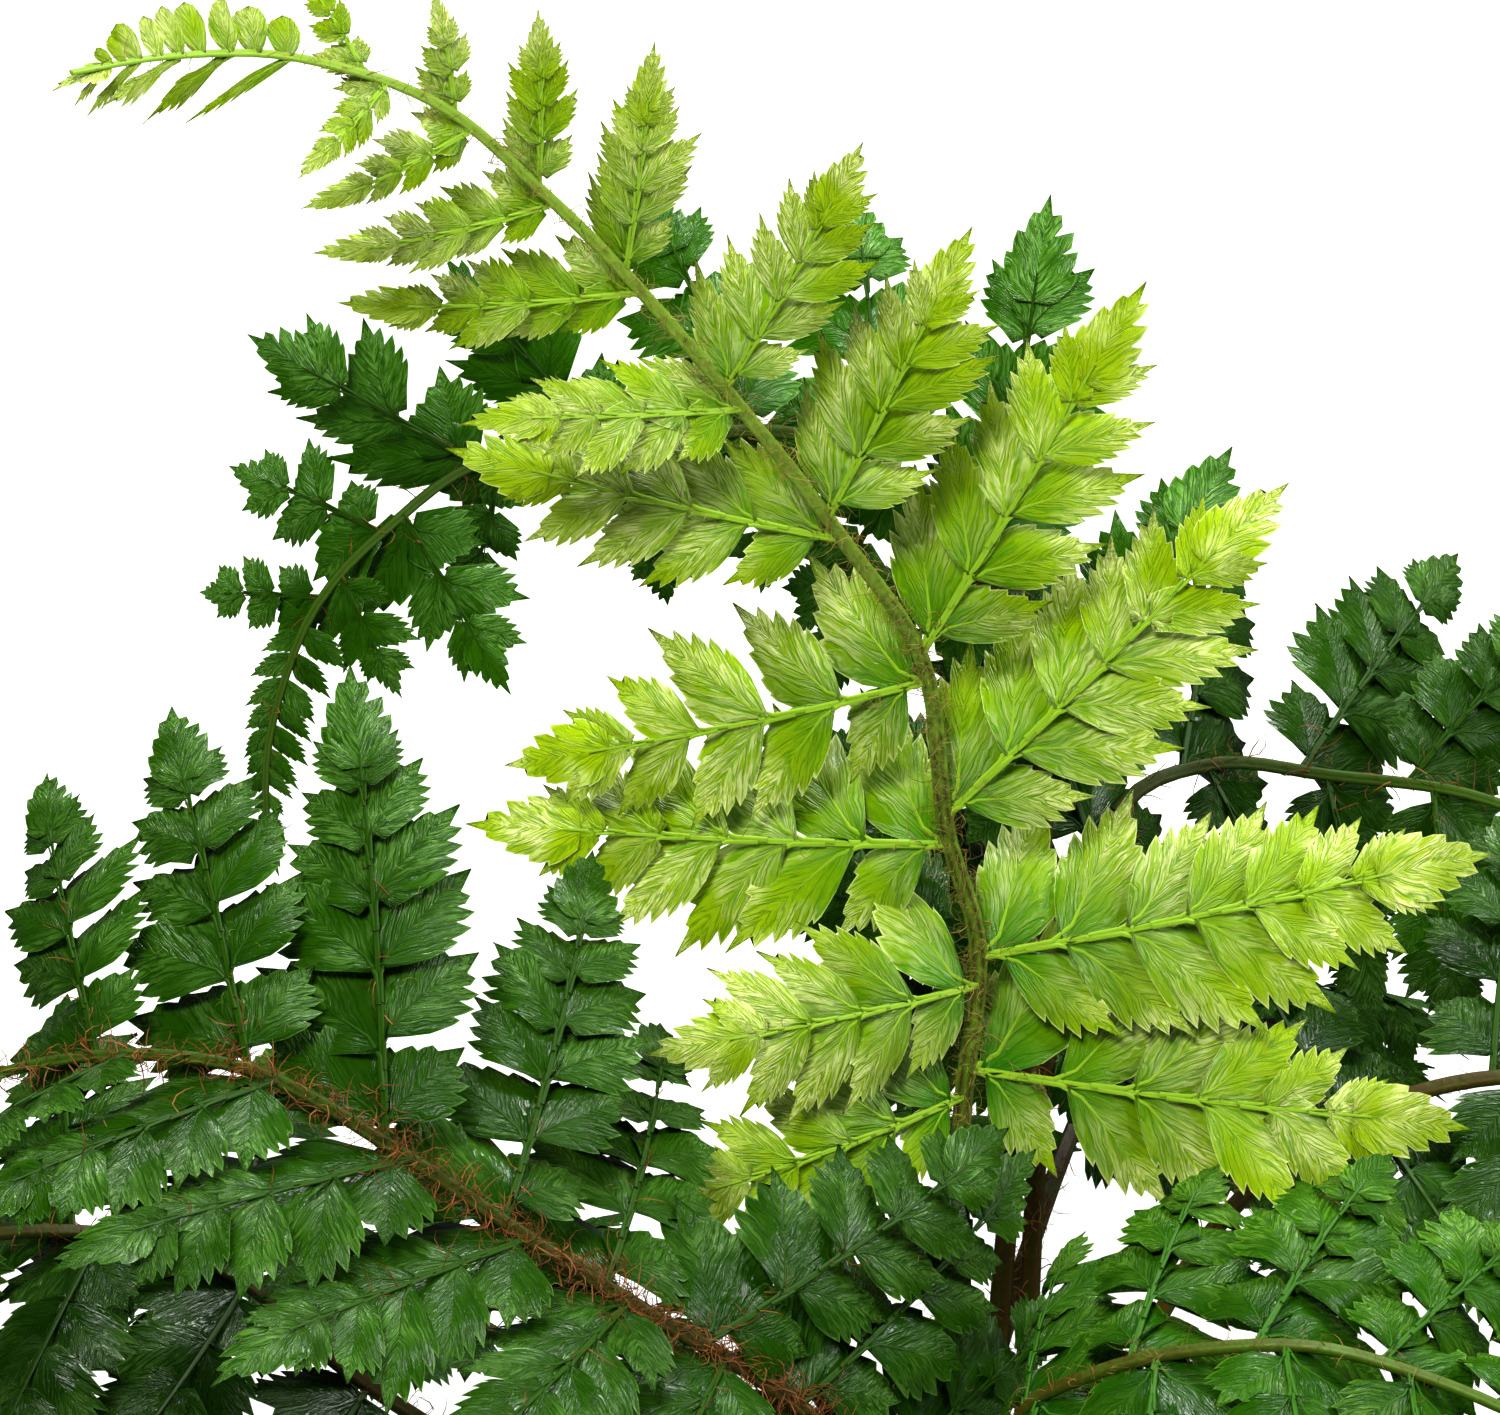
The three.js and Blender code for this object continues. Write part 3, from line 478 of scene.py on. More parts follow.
class Pinna(LeafletRow):
    """One pinna's place, directions and curved rib."""

    def __init__(self, stalk, hand, distance, angle, length, lift, twist, lowest, longest):
        along, face, right = stalk.axes(distance)
        angle, lift, twist = (math.radians(x) for x in (angle, lift, twist))
        outward = right * hand * math.cos(lift) + face * math.sin(lift)
        self.axis = along * math.cos(angle) + outward * math.sin(angle)
        flat = unit(hand * np.cross(self.axis, along))
        level = hand * np.cross(flat, self.axis)
        self.face = flat * math.cos(twist) + level * math.sin(twist)
        self.forward = hand * np.cross(self.face, self.axis)
        self.root = stalk.at(distance)
        self.hand, self.length = hand, length
        self.to_stalk = max(angle, STEEPEST_PINNA)
        self.rib_start = stalk.radius(distance, lowest) / math.sin(angle)
        self.spread = LEAFLET_LENGTH * (1 + SHORT_PINNA_BREADTH * (1 - length / longest))
        self.per_side = max(FEWEST_LEAFLETS, round(length / on_profile(LEAFLET_EVERY, length)))

    def rib(self, distance):
        """The rib's point, its way on, the pinna's front side and its upper face, at a distance along it."""
        part = distance / self.length
        sweep, sag = PINNA_SWEEP * self.length * part ** 2, PINNA_SAG * self.length * part ** 2
        point = self.root + self.axis * distance + self.forward * sweep - self.face * sag
        along = unit(self.axis + self.forward * 2 * PINNA_SWEEP * part - self.face * 2 * PINNA_SAG * part)
        face = unit(self.face - along * self.face.dot(along))
        return point, along, self.hand * np.cross(face, along), face


class FrondTip(LeafletRow):
    """The frond's last stretch, whose small leaflets stand on the stalk itself."""
    to_stalk = math.pi / 2
    rib_start = 0
    length = TIP_BLADE_LENGTH
    spread = LEAFLET_LENGTH * TIP_BLADE_BREADTH
    per_side = TIP_LEAFLETS

    def __init__(self, frond, stalk):
        self.stalk = stalk
        self.start = stalk.length - TIP_BLADE_LENGTH
        if "young_tip" in frond:
            # A young tip's upper leaflets stand up like a round comb. The lower ones are long and rolled.
            self.leaning = {1: 0.4, -1: 2}
            self.shapes = {1: "upper", -1: "round"}
            self.lift = {1: math.radians(-10), -1: math.radians(55)}
            self.drawn_out = {1: (1.7, 0.24), -1: (0.95, 1)}
            self.every = {1: 2, -1: 1}
            self.packing, self.crowding, self.arch = 1, 0.6, 2

    def rib(self, distance):
        along, face, right = self.stalk.axes(self.start + distance)
        return self.stalk.at(self.start + distance), along, -right, face


def pinnae_of(frond, stalk):
    """All the pinnae of a frond in pairs from the lowest up, and where the lowest pair stands."""
    rows = frond.get("pinnae") or even_rows(frond, stalk, seeded_draw(frond["seed"]))
    lowest, longest = rows[0][0], frond.get("longest", LONGEST_PINNA)
    pinnae = []
    for place, *both in rows:
        part = place / stalk.length
        for key, hand, seat, measures in (
                ("right", 1, place, both[:3]), ("left", -1, place - PINNA_STAGGER, both[3:])):
            twist = on_profile(frond.get(f"{key}_twist", [(0, BLADE_TWIST)]), part)
            narrow = on_profile(frond.get(f"{key}_narrow", [(0, 1)]), part)
            pinna = Pinna(stalk, hand, seat, *measures, twist, lowest, longest)
            pinna.leaning = {1: narrow, -1: narrow}
            pinna.fullness, pinna.arch = frond.get("fullness", 1), frond.get("arch", 1)
            pinna.reach = frond.get("reach", 1) * narrow
            share = frond.get("leaflet_share", 1)
            pinna.per_side = max(FEWEST_LEAFLETS, round(pinna.per_side * share))
            if frond["leaf"] != "lime":
                pinna.crowding, pinna.merge_from = GROWN_CROWDING, GROWN_MERGE_FROM
            if frond.get("lobed") or narrow < SLIM_BELOW:
                pinna.shapes = {1: "upper", -1: "upper"}
            if narrow < SLIM_BELOW:
                pinna.packing = SLIM_PACKING
            pinnae.append(pinna)
    return pinnae, lowest


# Leaflet blanks. A blank is one leaflet of unit length and width, with its base at the origin, its tip along
# +X and its upper face up. Its rows of points fan out from the midvein as the veins do, and its two faces
# meet in a sharp rim.

# The outline's half width along a leaflet, as (part of the length, part of the half width). The side towards
# the pinna's tip fills the corner beside the rib. The side towards its base is a long plain wedge.
FORE_SIDE = [
    (0, 0.12), (0.1, 0.52), (0.2, 0.84), (0.34, 1.06), (0.46, 1.1), (0.62, 0.86), (0.8, 0.52), (0.92, 0.25),
    (1, 0.06),
]
HIND_SIDE = [
    (0, 0.16), (0.14, 0.42), (0.26, 0.64), (0.44, 0.82), (0.62, 0.76), (0.8, 0.48), (0.92, 0.24), (1, 0.06),
]
UPPER_FORE_SIDE = [(0, 0.8), (0.2, 1), (0.4, 1.05), (0.6, 0.84), (0.8, 0.5), (0.92, 0.25), (1, 0.06)]
UPPER_HIND_SIDE = [(0, 0.5), (0.25, 0.66), (0.45, 0.84), (0.62, 0.78), (0.8, 0.5), (0.92, 0.25), (1, 0.06)]
ROUND_SIDE = [(0, 0.3), (0.12, 0.68), (0.3, 0.96), (0.5, 1.08), (0.7, 1.06), (0.85, 0.86), (0.96, 0.5)]
TERMINAL_SIDE = [(0, 0.5), (0.12, 0.8), (0.26, 1), (0.42, 0.94), (0.6, 0.76), (0.8, 0.46), (1, 0.12)]

# How finely a frond is made: the rows and columns of points in a leaflet blank, the points along a pinna's
# rib, how many hairs its leaflets have, and how many scales its stalk and ribs have unless it says so itself
DETAIL = {
    "fine": {
        "rows_each": 3, "base_rows": 4, "across": 8, "under": 4, "along_rib": 12, "leaf_hairs": 600,
        "scales": 2700,
    },
    "medium": {
        "rows_each": 3, "base_rows": 3, "across": 6, "under": 2, "along_rib": 8, "leaf_hairs": 150,
        "scales": 500,
    },
    "plain": {
        "rows_each": 2, "base_rows": 3, "across": 4, "under": 2, "along_rib": 6, "leaf_hairs": 0,
        "scales": 300,
    },
}
SHAPES = {
    "side": {
        "sides": (FORE_SIDE, HIND_SIDE), "first_teeth": (0.3, 0.42), "notch": 0.08, "spine": 0.09,
        "apex": 1.12,
    },
    "upper": {
        "sides": (UPPER_FORE_SIDE, UPPER_HIND_SIDE), "first_teeth": (0.3, 0.42), "notch": 0.085,
        "spine": 0.095, "apex": 1.12,
    },
    "terminal": {
        "sides": (TERMINAL_SIDE, TERMINAL_SIDE), "first_teeth": (0.1, 0.16), "notch": 0.14, "spine": 0.1,
        "apex": 1.12,
    },
    "round": {
        "sides": (ROUND_SIDE, ROUND_SIDE), "first_teeth": (0.5, 0.5), "notch": 0.03, "spine": 0.03,
        "apex": 1.0,
    },
}
CURLS = (0.08, 0.13, 0.17, 0.21)
VARIANTS = len(CURLS)

# Teeth from a leaflet's base to its tip: how large each grows, and how toothed each of the two sides is
TOOTH_GROWTH = (0.5, 0.9, 1, 0.6)
SIDES_TOOTHED = (0.4, 1)
LAST_TOOTH_END = 0.92
LOOSE_TOOTH = 0.2
LOOSE_TOOTH_SIZE = (0.6, 0.6)

# A tooth's three points, as parts of its step: where each stands, and where the outline is read for its width
TOOTH_BACK = (0.42, 0.4)
TOOTH_POINT = (0.78, 0.72)
TOOTH_HOLLOW = (0.88, 0.97)
TOOTH_BACK_SWELL = 1.03
TOOTH_POINT_SWELL = 1.02
LEAST_HALF_WIDTH = 0.16
TIP_HALF_WIDTH = 0.012


def margin(side, first_tooth, toothed, detail, shape, draw):
    """One side's rim points from the base to the tip, and how far each stands out as a tooth's spine. Each
    tooth has a hollow arc behind it, and the tip itself is the longest."""
    points = [(x, on_profile(side, x), 0.0) for x in np.linspace(0, first_tooth, detail["base_rows"])]
    step = (LAST_TOOTH_END - first_tooth) / len(TOOTH_GROWTH)
    for tooth, growth in enumerate(TOOTH_GROWTH):
        low = first_tooth + step * tooth + step * LOOSE_TOOTH * (draw.random() - 0.5)
        size = loosely(draw, LOOSE_TOOTH_SIZE) * growth * toothed
        back, point, hollow = (
            (low + at * step, on_profile(side, low + read_at * step))
            for at, read_at in (TOOTH_BACK, TOOTH_POINT, TOOTH_HOLLOW))
        if detail["rows_each"] == 3:
            points.append((back[0], back[1] * TOOTH_BACK_SWELL, 0.0))
        points.append((point[0], point[1] * TOOTH_POINT_SWELL, shape["spine"] * size))
        points.append((hollow[0], max(hollow[1] - shape["notch"] * size * 2, LEAST_HALF_WIDTH), 0.0))
    points.append((shape["apex"], TIP_HALF_WIDTH, 0.0))
    return points


# Veins leave the midvein at one angle, and fan out from the leaflet's foot where they are steeper
VEIN_ANGLE = math.radians(21)
FOOT_FAN = 0.5
USUAL_BREADTH = 0.56


def vein_at(x, y):
    """The number that stays the same along a vein: where it leaves the midvein, or below 0 its turn."""
    start = x - y / math.tan(VEIN_ANGLE)
    if start >= 0:
        return start
    return -FOOT_FAN * (math.atan2(y, x) - VEIN_ANGLE) / (math.pi / 2 - VEIN_ANGLE)

# A blank's relief, as parts of its length
LOOSE_CUP = (0.05, 0.14)
MOST_TWIST = 0.25
BLANK_THICKNESS = 0.022
RIPPLE_HEIGHT = 0.022
RIPPLE_TURN = 9
MIDDLE_GROOVE = 0.02
MIDDLE_GROOVE_WIDTH = 0.16


def leaflet_blank(name, shape, detail, mirror, seed):
    """A closed leaflet mesh, arched, with a UV map that follows its veins."""
    draw = random.Random(seed)
    shape, detail = SHAPES[shape], DETAIL[detail]
    sides = [margin(side, first_tooth, toothed, detail, shape, draw)
             for side, first_tooth, toothed in zip(shape["sides"], shape["first_teeth"], SIDES_TOOTHED)]
    rows = len(sides[0])
    curl, cup = CURLS[seed], loosely(draw, LOOSE_CUP)
    twist, wave = 2 * MOST_TWIST * (draw.random() - 0.5), 2 * math.pi * draw.random()
    verts, uvs, number = [], [], {}

    def vertex(row, v, lower):
        """The number of the point in a row at v, from -1 to 1 across. Rim points belong to both faces."""
        rim = abs(v) == 1 or row in (0, rows - 1)
        key = (row, v, lower and not rim)
        if key in number:
            return number[key]
        part = row / (rows - 1)
        mid_x = shape["apex"] * part ** 2.1
        x_rim, half, spine = sides[0 if v > 0 else 1][row]
        if abs(v) < 1:
            spine = 0
        x = mid_x + (x_rim - mid_x) * abs(v) ** 1.15 + spine
        y = v * (half + spine) / 2
        ripple = RIPPLE_HEIGHT * v * v * math.sin(RIPPLE_TURN * x + wave + (2 if v > 0 else 0))
        groove = -MIDDLE_GROOVE * math.exp(-(v / MIDDLE_GROOVE_WIDTH) ** 2) * (1 - x)
        z = -curl * x ** 2 - cup * 2 * y * y + ripple + groove + twist * x * y
        if key[2]:
            z -= BLANK_THICKNESS * (1 - abs(v) ** 3)
        number[key] = len(verts)
        verts.append((x, mirror * y, z))
        uvs.append((vein_at(x, abs(y) * USUAL_BREADTH), 0.5 + 0.5 * v))
        return number[key]

    faces = []
    for lower, across in ((False, detail["across"]), (True, detail["under"])):
        for row in range(rows - 1):
            for column in range(across):
                low, high = 2 * column / across - 1, 2 * (column + 1) / across - 1
                face = [vertex(row, low, lower), vertex(row + 1, low, lower),
                        vertex(row + 1, high, lower), vertex(row, high, lower)]
                faces.append(face if lower == (mirror < 0) else face[::-1])
    # The underside has fewer columns, so the two end rows are filled up to the upper side's points
    for row, backward in ((0, False), (rows - 1, True)):
        upper = [vertex(row, 2 * c / detail["across"] - 1, False) for c in range(detail["across"] + 1)]
        under = [vertex(row, 2 * c / detail["under"] - 1, True) for c in range(detail["under"] + 1)]
        ratio = detail["across"] // detail["under"]
        for column in range(detail["under"]):
            face = upper[column * ratio:(column + 1) * ratio + 1]
            assert face[0] == under[column]
            if len(face) > 2:
                faces.append(face if backward == (mirror < 0) else face[::-1])
    mesh = mesh_of(name, verts, faces=faces)
    layer = mesh.uv_layers.new(name="veins")
    for loop in mesh.loops:
        layer.data[loop.index].uv = uvs[loop.vertex_index]
    write_attribute(mesh, "outward", [vert[0] for vert in verts])
    mesh.polygons.foreach_set("use_smooth", [True] * len(mesh.polygons))
    rim = {index for (row, v, lower), index in number.items() if abs(v) == 1}
    for edge in mesh.edges:
        edge.use_edge_sharp = all(i in rim for i in edge.vertices)
    return bpy.data.objects.new(name, mesh)


def collected(name, blanks):
    """A collection that holds blanks for the node trees, which take them in the order of their names."""
    collection = bpy.data.collections.new(name)
    bpy.context.scene.collection.children.link(collection)
    for blank in blanks:
        collection.objects.link(blank)
    return collection


def leaflet_blanks(detail):
    """All the blanks of one fineness: for each shape its variants, and each variant's mirror image."""
    kinds = [(shape, variant, mirror)
             for shape in SHAPES for variant in range(VARIANTS) for mirror in (1, -1)]
    return collected(f"leaflet_blanks_{detail}", [
        leaflet_blank(f"leaflet_{detail}_{number:02d}_{shape}", shape, detail, mirror, variant)
        for number, (shape, variant, mirror) in enumerate(kinds)])


def blank_index(shape, variant, mirror):
    """The number that leaflet_blanks gives to a blank."""
    return (list(SHAPES).index(shape) * VARIANTS + variant) * 2 + (0 if mirror > 0 else 1)


# What stands on each frond, as points with attributes

def turn_of(x_axis, z_axis):
    """The rotation that brings X to x_axis and Z as near as it can be to z_axis."""
    x_axis = unit(x_axis)
    y_axis = unit(np.cross(z_axis, x_axis))
    return Matrix(np.column_stack([x_axis, y_axis, np.cross(x_axis, y_axis)]).tolist()).to_quaternion()


def turned_about(vector, axis, angle):
    axis = unit(axis)
    return (
        vector * math.cos(angle) + np.cross(axis, vector) * math.sin(angle)
        + axis * axis.dot(vector) * (1 - math.cos(angle))
    )


# A leaflet's midvein: how far before the leaflet and how far aside it runs along the rib, as parts of the
# leaflet's length and of the rib's radius, and how far into the leaflet its other points lie
MIDVEIN_BEFORE = ((0.3, 0.3), (0.075, 0.6))
MIDVEIN_OUT = (0.12, 0.28, 0.48)
MIDVEIN_ABOVE_RIB = 0.12
MIDVEIN_ABOVE = 0.17
MIDVEIN_RADIUS = 0.02
MIDVEIN_TAPER = 0.8


def leaflets_on(pinna, draw, age, tone, leaflets, midveins):
    """Adds one pinna's leaflets to the list: front and back ones along its rib, and the one at its end. Each
    side leaflet also gets a midvein, which starts along the rib and turns out into it."""
    for side, profile, leans, seat in (
            (1, FRONT_PROFILE, FRONT_LEAN, FRONT_SEAT), (-1, BACK_PROFILE, BACK_LEAN, BACK_SEAT)):
        clear = (pinna.to_stalk if side > 0 else math.pi - pinna.to_stalk) - LEAFLET_CLEARANCE
        for index in range(0, pinna.per_side, pinna.every[side]):
            part = index / pinna.per_side
            start, end = pinna.start_of(part), pinna.start_of((index + 1) / pinna.per_side)
            pitch = end - start
            lean = on_profile(leans, part) + LOOSE_LEAN * (draw.random() - 0.5)
            lean = min(math.radians(lean) * pinna.leaning[side], clear)
            place = start + pitch * (seat + LOOSE_SEAT * (draw.random() - 0.5))
            point, along, front, face = pinna.rib(place)
            lift = pinna.lift[side]
            front, face = (
                front * math.cos(lift) + side * face * math.sin(lift),
                face * math.cos(lift) - side * front * math.sin(lift),
            )
            longer, wider = pinna.drawn_out[side]
            length = pinna.length * pinna.spread * on_profile(profile, part) * loosely(draw, LOOSE_LEAFLET)
            length = max(length * LEAFLET_GAIN, SHORTEST_LEAFLET) * pinna.reach * longer
            width = max(SLIMMEST_LEAFLET * length, pinna.packing * pitch * math.sin(lean))
            width *= pinna.fullness * wider
            way = along * math.cos(lean) + side * front * math.sin(lean)
            droop = LEAFLET_DROOP * loosely(draw, LOOSE_DROOP)
            way = way * math.cos(droop) - face * math.sin(droop)
            roll = side * pinna.hand * LEAFLET_ROLL * loosely(draw, LOOSE_ROLL)
            normal = turned_about(face, way, roll)
            shape = pinna.shapes[side] or ("side" if part < pinna.merge_from else "upper")
            variant = draw.randrange(VARIANTS)
            arching = loosely(draw, LOOSE_ARCH) * pinna.arch
            # A leaflet's tone is random, with its frond's painted light or painted shade added
            leaflets.append({
                "place": point + face * ABOVE_RIB,
                "turn": turn_of(way, normal),
                "size": (length * MM, width * MM, length * MM * arching),
                "blank": blank_index(shape, variant, -side * pinna.hand),
                "tone": draw.random() + tone,
                "inner": float((1 - part) * (1 - 0.5 * age)),
                "hairy": 1.0,
            })
            vein = []
            for before, aside in MIDVEIN_BEFORE:
                on_rib, _, beside, up = pinna.rib(max(place - before * length, 0))
                vein.append((on_rib + side * beside * aside * RIB_RADIUS + up * MIDVEIN_ABOVE_RIB, up))
            for out in MIDVEIN_OUT:
                sunk = (CURLS[variant] * out ** 2 + MIDDLE_GROOVE * (1 - out)) * arching * length
                vein.append((point + face * MIDVEIN_ABOVE + way * out * length - normal * sunk, normal))
            midveins.append((vein, length))
    start = pinna.start_of(1 - 0.5 / pinna.per_side)
    point, along, front, face = pinna.rib(start)
    length = (pinna.length - start) * END_LEAFLET_GAIN + 1
    width = END_LEAFLET_BREADTH * length * min(pinna.fullness, END_LEAFLET_FULLEST) * min(pinna.reach, 1)
    leaflets.append({
        "place": point - face * END_LEAFLET_SUNK,
        "turn": turn_of(along - face * END_LEAFLET_SUNK, face),
        "size": (length * MM, width * MM, length * MM),
        "blank": blank_index("terminal", draw.randrange(VARIANTS), 1),
        "tone": draw.random() + tone,
        "inner": 0.0,
        "hairy": 1.0,
    })


ATTRIBUTE_KINDS = {
    int: ("INT", "value"),
    float: ("FLOAT", "value"),
    tuple: ("FLOAT_VECTOR", "vector"),
    Quaternion: ("QUATERNION", "value"),
}


def points_object(name, rows, edges=()):
    """A mesh of points in metres with one attribute for each of the other values in the rows."""
    mesh = mesh_of(name, [tuple(np.array(row["place"]) * MM) for row in rows], edges)
    for key, value in rows[0].items():
        if key != "place":
            kind, field = ATTRIBUTE_KINDS[type(value)]
            values = np.array([row[key] for row in rows], int if kind == "INT" else float)
            write_attribute(mesh, key, values.ravel(), kind, field)
    return placed(name, mesh)


# What would hang lower than this bends out level over the table instead
SOFT_FLOOR = 3 * MM


def grown(source, name, tree, material, **inputs):
    """A plain mesh made by a node tree on the source object."""
    modifier = source.modifiers.new("grow", "NODES")
    modifier.node_group = tree
    sockets = {item.name: item.identifier for item in tree.interface.items_tree if item.in_out == "INPUT"}
    modifier[sockets["Material"]] = material
    for key, value in inputs.items():
        modifier[sockets[key]] = value
    graph = bpy.context.evaluated_depsgraph_get()
    mesh = bpy.data.meshes.new_from_object(source.evaluated_get(graph))
    source.modifiers.remove(modifier)
    mesh.name = name
    places = np.zeros(len(mesh.vertices) * 3)
    mesh.vertices.foreach_get("co", places)
    heights = places[2::3]
    places[2::3] = np.where(heights < SOFT_FLOOR, SOFT_FLOOR * np.exp(heights / SOFT_FLOOR - 1), heights)
    mesh.vertices.foreach_set("co", places)
    mesh.update()
    return placed(name, mesh)


def grown_on_points(name, rows, edges, tree, material, **inputs):
    """A plain mesh made by a node tree on points, which aren't kept."""
    source = points_object(f"{name}_points", rows, edges)
    piece = grown(source, name, tree, material, **inputs)
    bpy.data.objects.remove(source)
    return piece


def new_tree(name, **inputs):
    """An empty geometry tree with a geometry input and output, a material and other named inputs."""
    tree = bpy.data.node_groups.new(name, "GeometryNodeTree")
    tree.interface.new_socket("Geometry", in_out="INPUT", socket_type="NodeSocketGeometry")
    tree.interface.new_socket("Material", in_out="INPUT", socket_type="NodeSocketMaterial")
    for key, kind in inputs.items():
        tree.interface.new_socket(key, in_out="INPUT", socket_type=kind)
    tree.interface.new_socket("Geometry", in_out="OUTPUT", socket_type="NodeSocketGeometry")
    return tree, add(tree, "NodeGroupInput").outputs

def close_tree(tree, given, geometry):
    """Ends a tree: its geometry becomes real, is painted with the given material, and goes out."""
    real = add(tree, "GeometryNodeRealizeInstances", {"Geometry": geometry})
    painted = add(tree, "GeometryNodeSetMaterial", {
        "Geometry": real.outputs["Geometry"], "Material": given["Material"]})
    add(tree, "NodeGroupOutput", {"Geometry": painted.outputs["Geometry"]})
    return tree


def leaflet_tree():
    """Stands a leaflet blank on every point, turned and sized by the point's attributes."""
    tree, given = new_tree("leaflets", Blanks="NodeSocketCollection")
    blanks = add(
        tree, "GeometryNodeCollectionInfo", {"Collection": given["Blanks"], "Separate Children": True},
        transform_space="ORIGINAL")
    number, turn, size = (
        add(tree, "GeometryNodeInputNamedAttribute", {"Name": key}, data_type=kind).outputs["Attribute"]
        for key, kind in (("blank", "INT"), ("turn", "QUATERNION"), ("size", "FLOAT_VECTOR")))
    stand = add(tree, "GeometryNodeInstanceOnPoints", {
        "Points": given["Geometry"], "Instance": blanks.outputs["Instances"], "Pick Instance": True,
        "Instance Index": number, "Rotation": turn, "Scale": size,
    })
    return close_tree(tree, given, stand.outputs["Instances"])


def stalk_tree():
    """Draws a section along every chain of points, turned to the attribute face and sized by the radius."""
    tree, given = new_tree("stalks", Section="NodeSocketObject")
    line = add(tree, "GeometryNodeMeshToCurve", {"Mesh": given["Geometry"]})
    face, radius = (
        add(tree, "GeometryNodeInputNamedAttribute", {"Name": key}, data_type=kind).outputs["Attribute"]
        for key, kind in (("face", "FLOAT_VECTOR"), ("radius_m", "FLOAT")))
    turned = add(
        tree, "GeometryNodeSetCurveNormal", {"Curve": line.outputs["Curve"], "Normal": face}, mode="FREE")
    section = add(tree, "GeometryNodeObjectInfo", {"Object": given["Section"]}, transform_space="ORIGINAL")
    outline = add(tree, "GeometryNodeMeshToCurve", {"Mesh": section.outputs["Geometry"]})
    drawn = add(tree, "GeometryNodeCurveToMesh", {
        "Curve": turned.outputs["Curve"], "Profile Curve": outline.outputs["Curve"], "Scale": radius,
        "Fill Caps": True})
    smooth = add(tree, "GeometryNodeSetShadeSmooth", {"Geometry": drawn.outputs["Mesh"]})
    return close_tree(tree, given, smooth.outputs["Geometry"])


# Hair and scale blanks: three-sided, tapered and curly, of unit length from the origin, starting along +Z
HAIR_VARIANTS = 8
HAIR_SEGMENTS = 4
LOOSE_HAIR_LENGTH = (0.5, 1.25)
LOOSE_HAIR_CURL = (0.4, 1.2)
HAIR_WANDER = 0.9


def hair_tree():
    """Scatters blanks over a mesh, standing out of it at loose angles."""
    tree, given = new_tree("hairs", Blanks="NodeSocketCollection", Density="NodeSocketFloat",
                           Length="NodeSocketFloat", Lean="NodeSocketFloat", Seed="NodeSocketInt")
    hairy = add(tree, "GeometryNodeInputNamedAttribute", {"Name": "hairy"}, data_type="FLOAT")
    density = add(tree, "ShaderNodeMath", {0: given["Density"], 1: hairy.outputs["Attribute"]},
                  operation="MULTIPLY")
    spots = add(tree, "GeometryNodeDistributePointsOnFaces", {
        "Mesh": given["Geometry"], "Density": density.outputs[0], "Seed": given["Seed"]})
    blanks = add(
        tree, "GeometryNodeCollectionInfo", {"Collection": given["Blanks"], "Separate Children": True},
        transform_space="ORIGINAL")
    back = add(tree, "ShaderNodeMath", {0: given["Lean"], 1: -1.0}, operation="MULTIPLY")
    low = add(tree, "ShaderNodeCombineXYZ", {"X": back.outputs[0], "Y": back.outputs[0], "Z": -math.pi})
    high = add(tree, "ShaderNodeCombineXYZ", {"X": given["Lean"], "Y": given["Lean"], "Z": math.pi})
    loose = add(tree, "FunctionNodeRandomValue", {
        0: low.outputs[0], 1: high.outputs[0], "Seed": 1}, data_type="FLOAT_VECTOR")
    leaning = add(tree, "FunctionNodeEulerToRotation", {"Euler": loose.outputs[0]})
    turn = add(tree, "FunctionNodeRotateRotation", {
        "Rotation": spots.outputs["Rotation"], "Rotate By": leaning.outputs["Rotation"]},
        rotation_space="LOCAL")
    least, most = LOOSE_HAIR_LENGTH
    share = add(tree, "FunctionNodeRandomValue", {2: least, 3: most, "Seed": 2}, data_type="FLOAT")
    size = add(tree, "ShaderNodeMath", {0: given["Length"], 1: share.outputs[1]}, operation="MULTIPLY")
    number = add(tree, "FunctionNodeRandomValue", {4: 0, 5: HAIR_VARIANTS - 1, "Seed": 3}, data_type="INT")
    tone = add(tree, "FunctionNodeRandomValue", {2: 0.0, 3: 1.0, "Seed": 4}, data_type="FLOAT")
    toned = add(tree, "GeometryNodeStoreNamedAttribute", {
        "Geometry": spots.outputs["Points"], "Name": "tone", "Value": tone.outputs[1]},
        data_type="FLOAT", domain="POINT")
    stand = add(tree, "GeometryNodeInstanceOnPoints", {
        "Points": toned.outputs["Geometry"], "Instance": blanks.outputs["Instances"], "Pick Instance": True,
        "Instance Index": number.outputs[2], "Rotation": turn.outputs["Rotation"],
        "Scale": size.outputs[0],
    })
    return close_tree(tree, given, stand.outputs["Instances"])


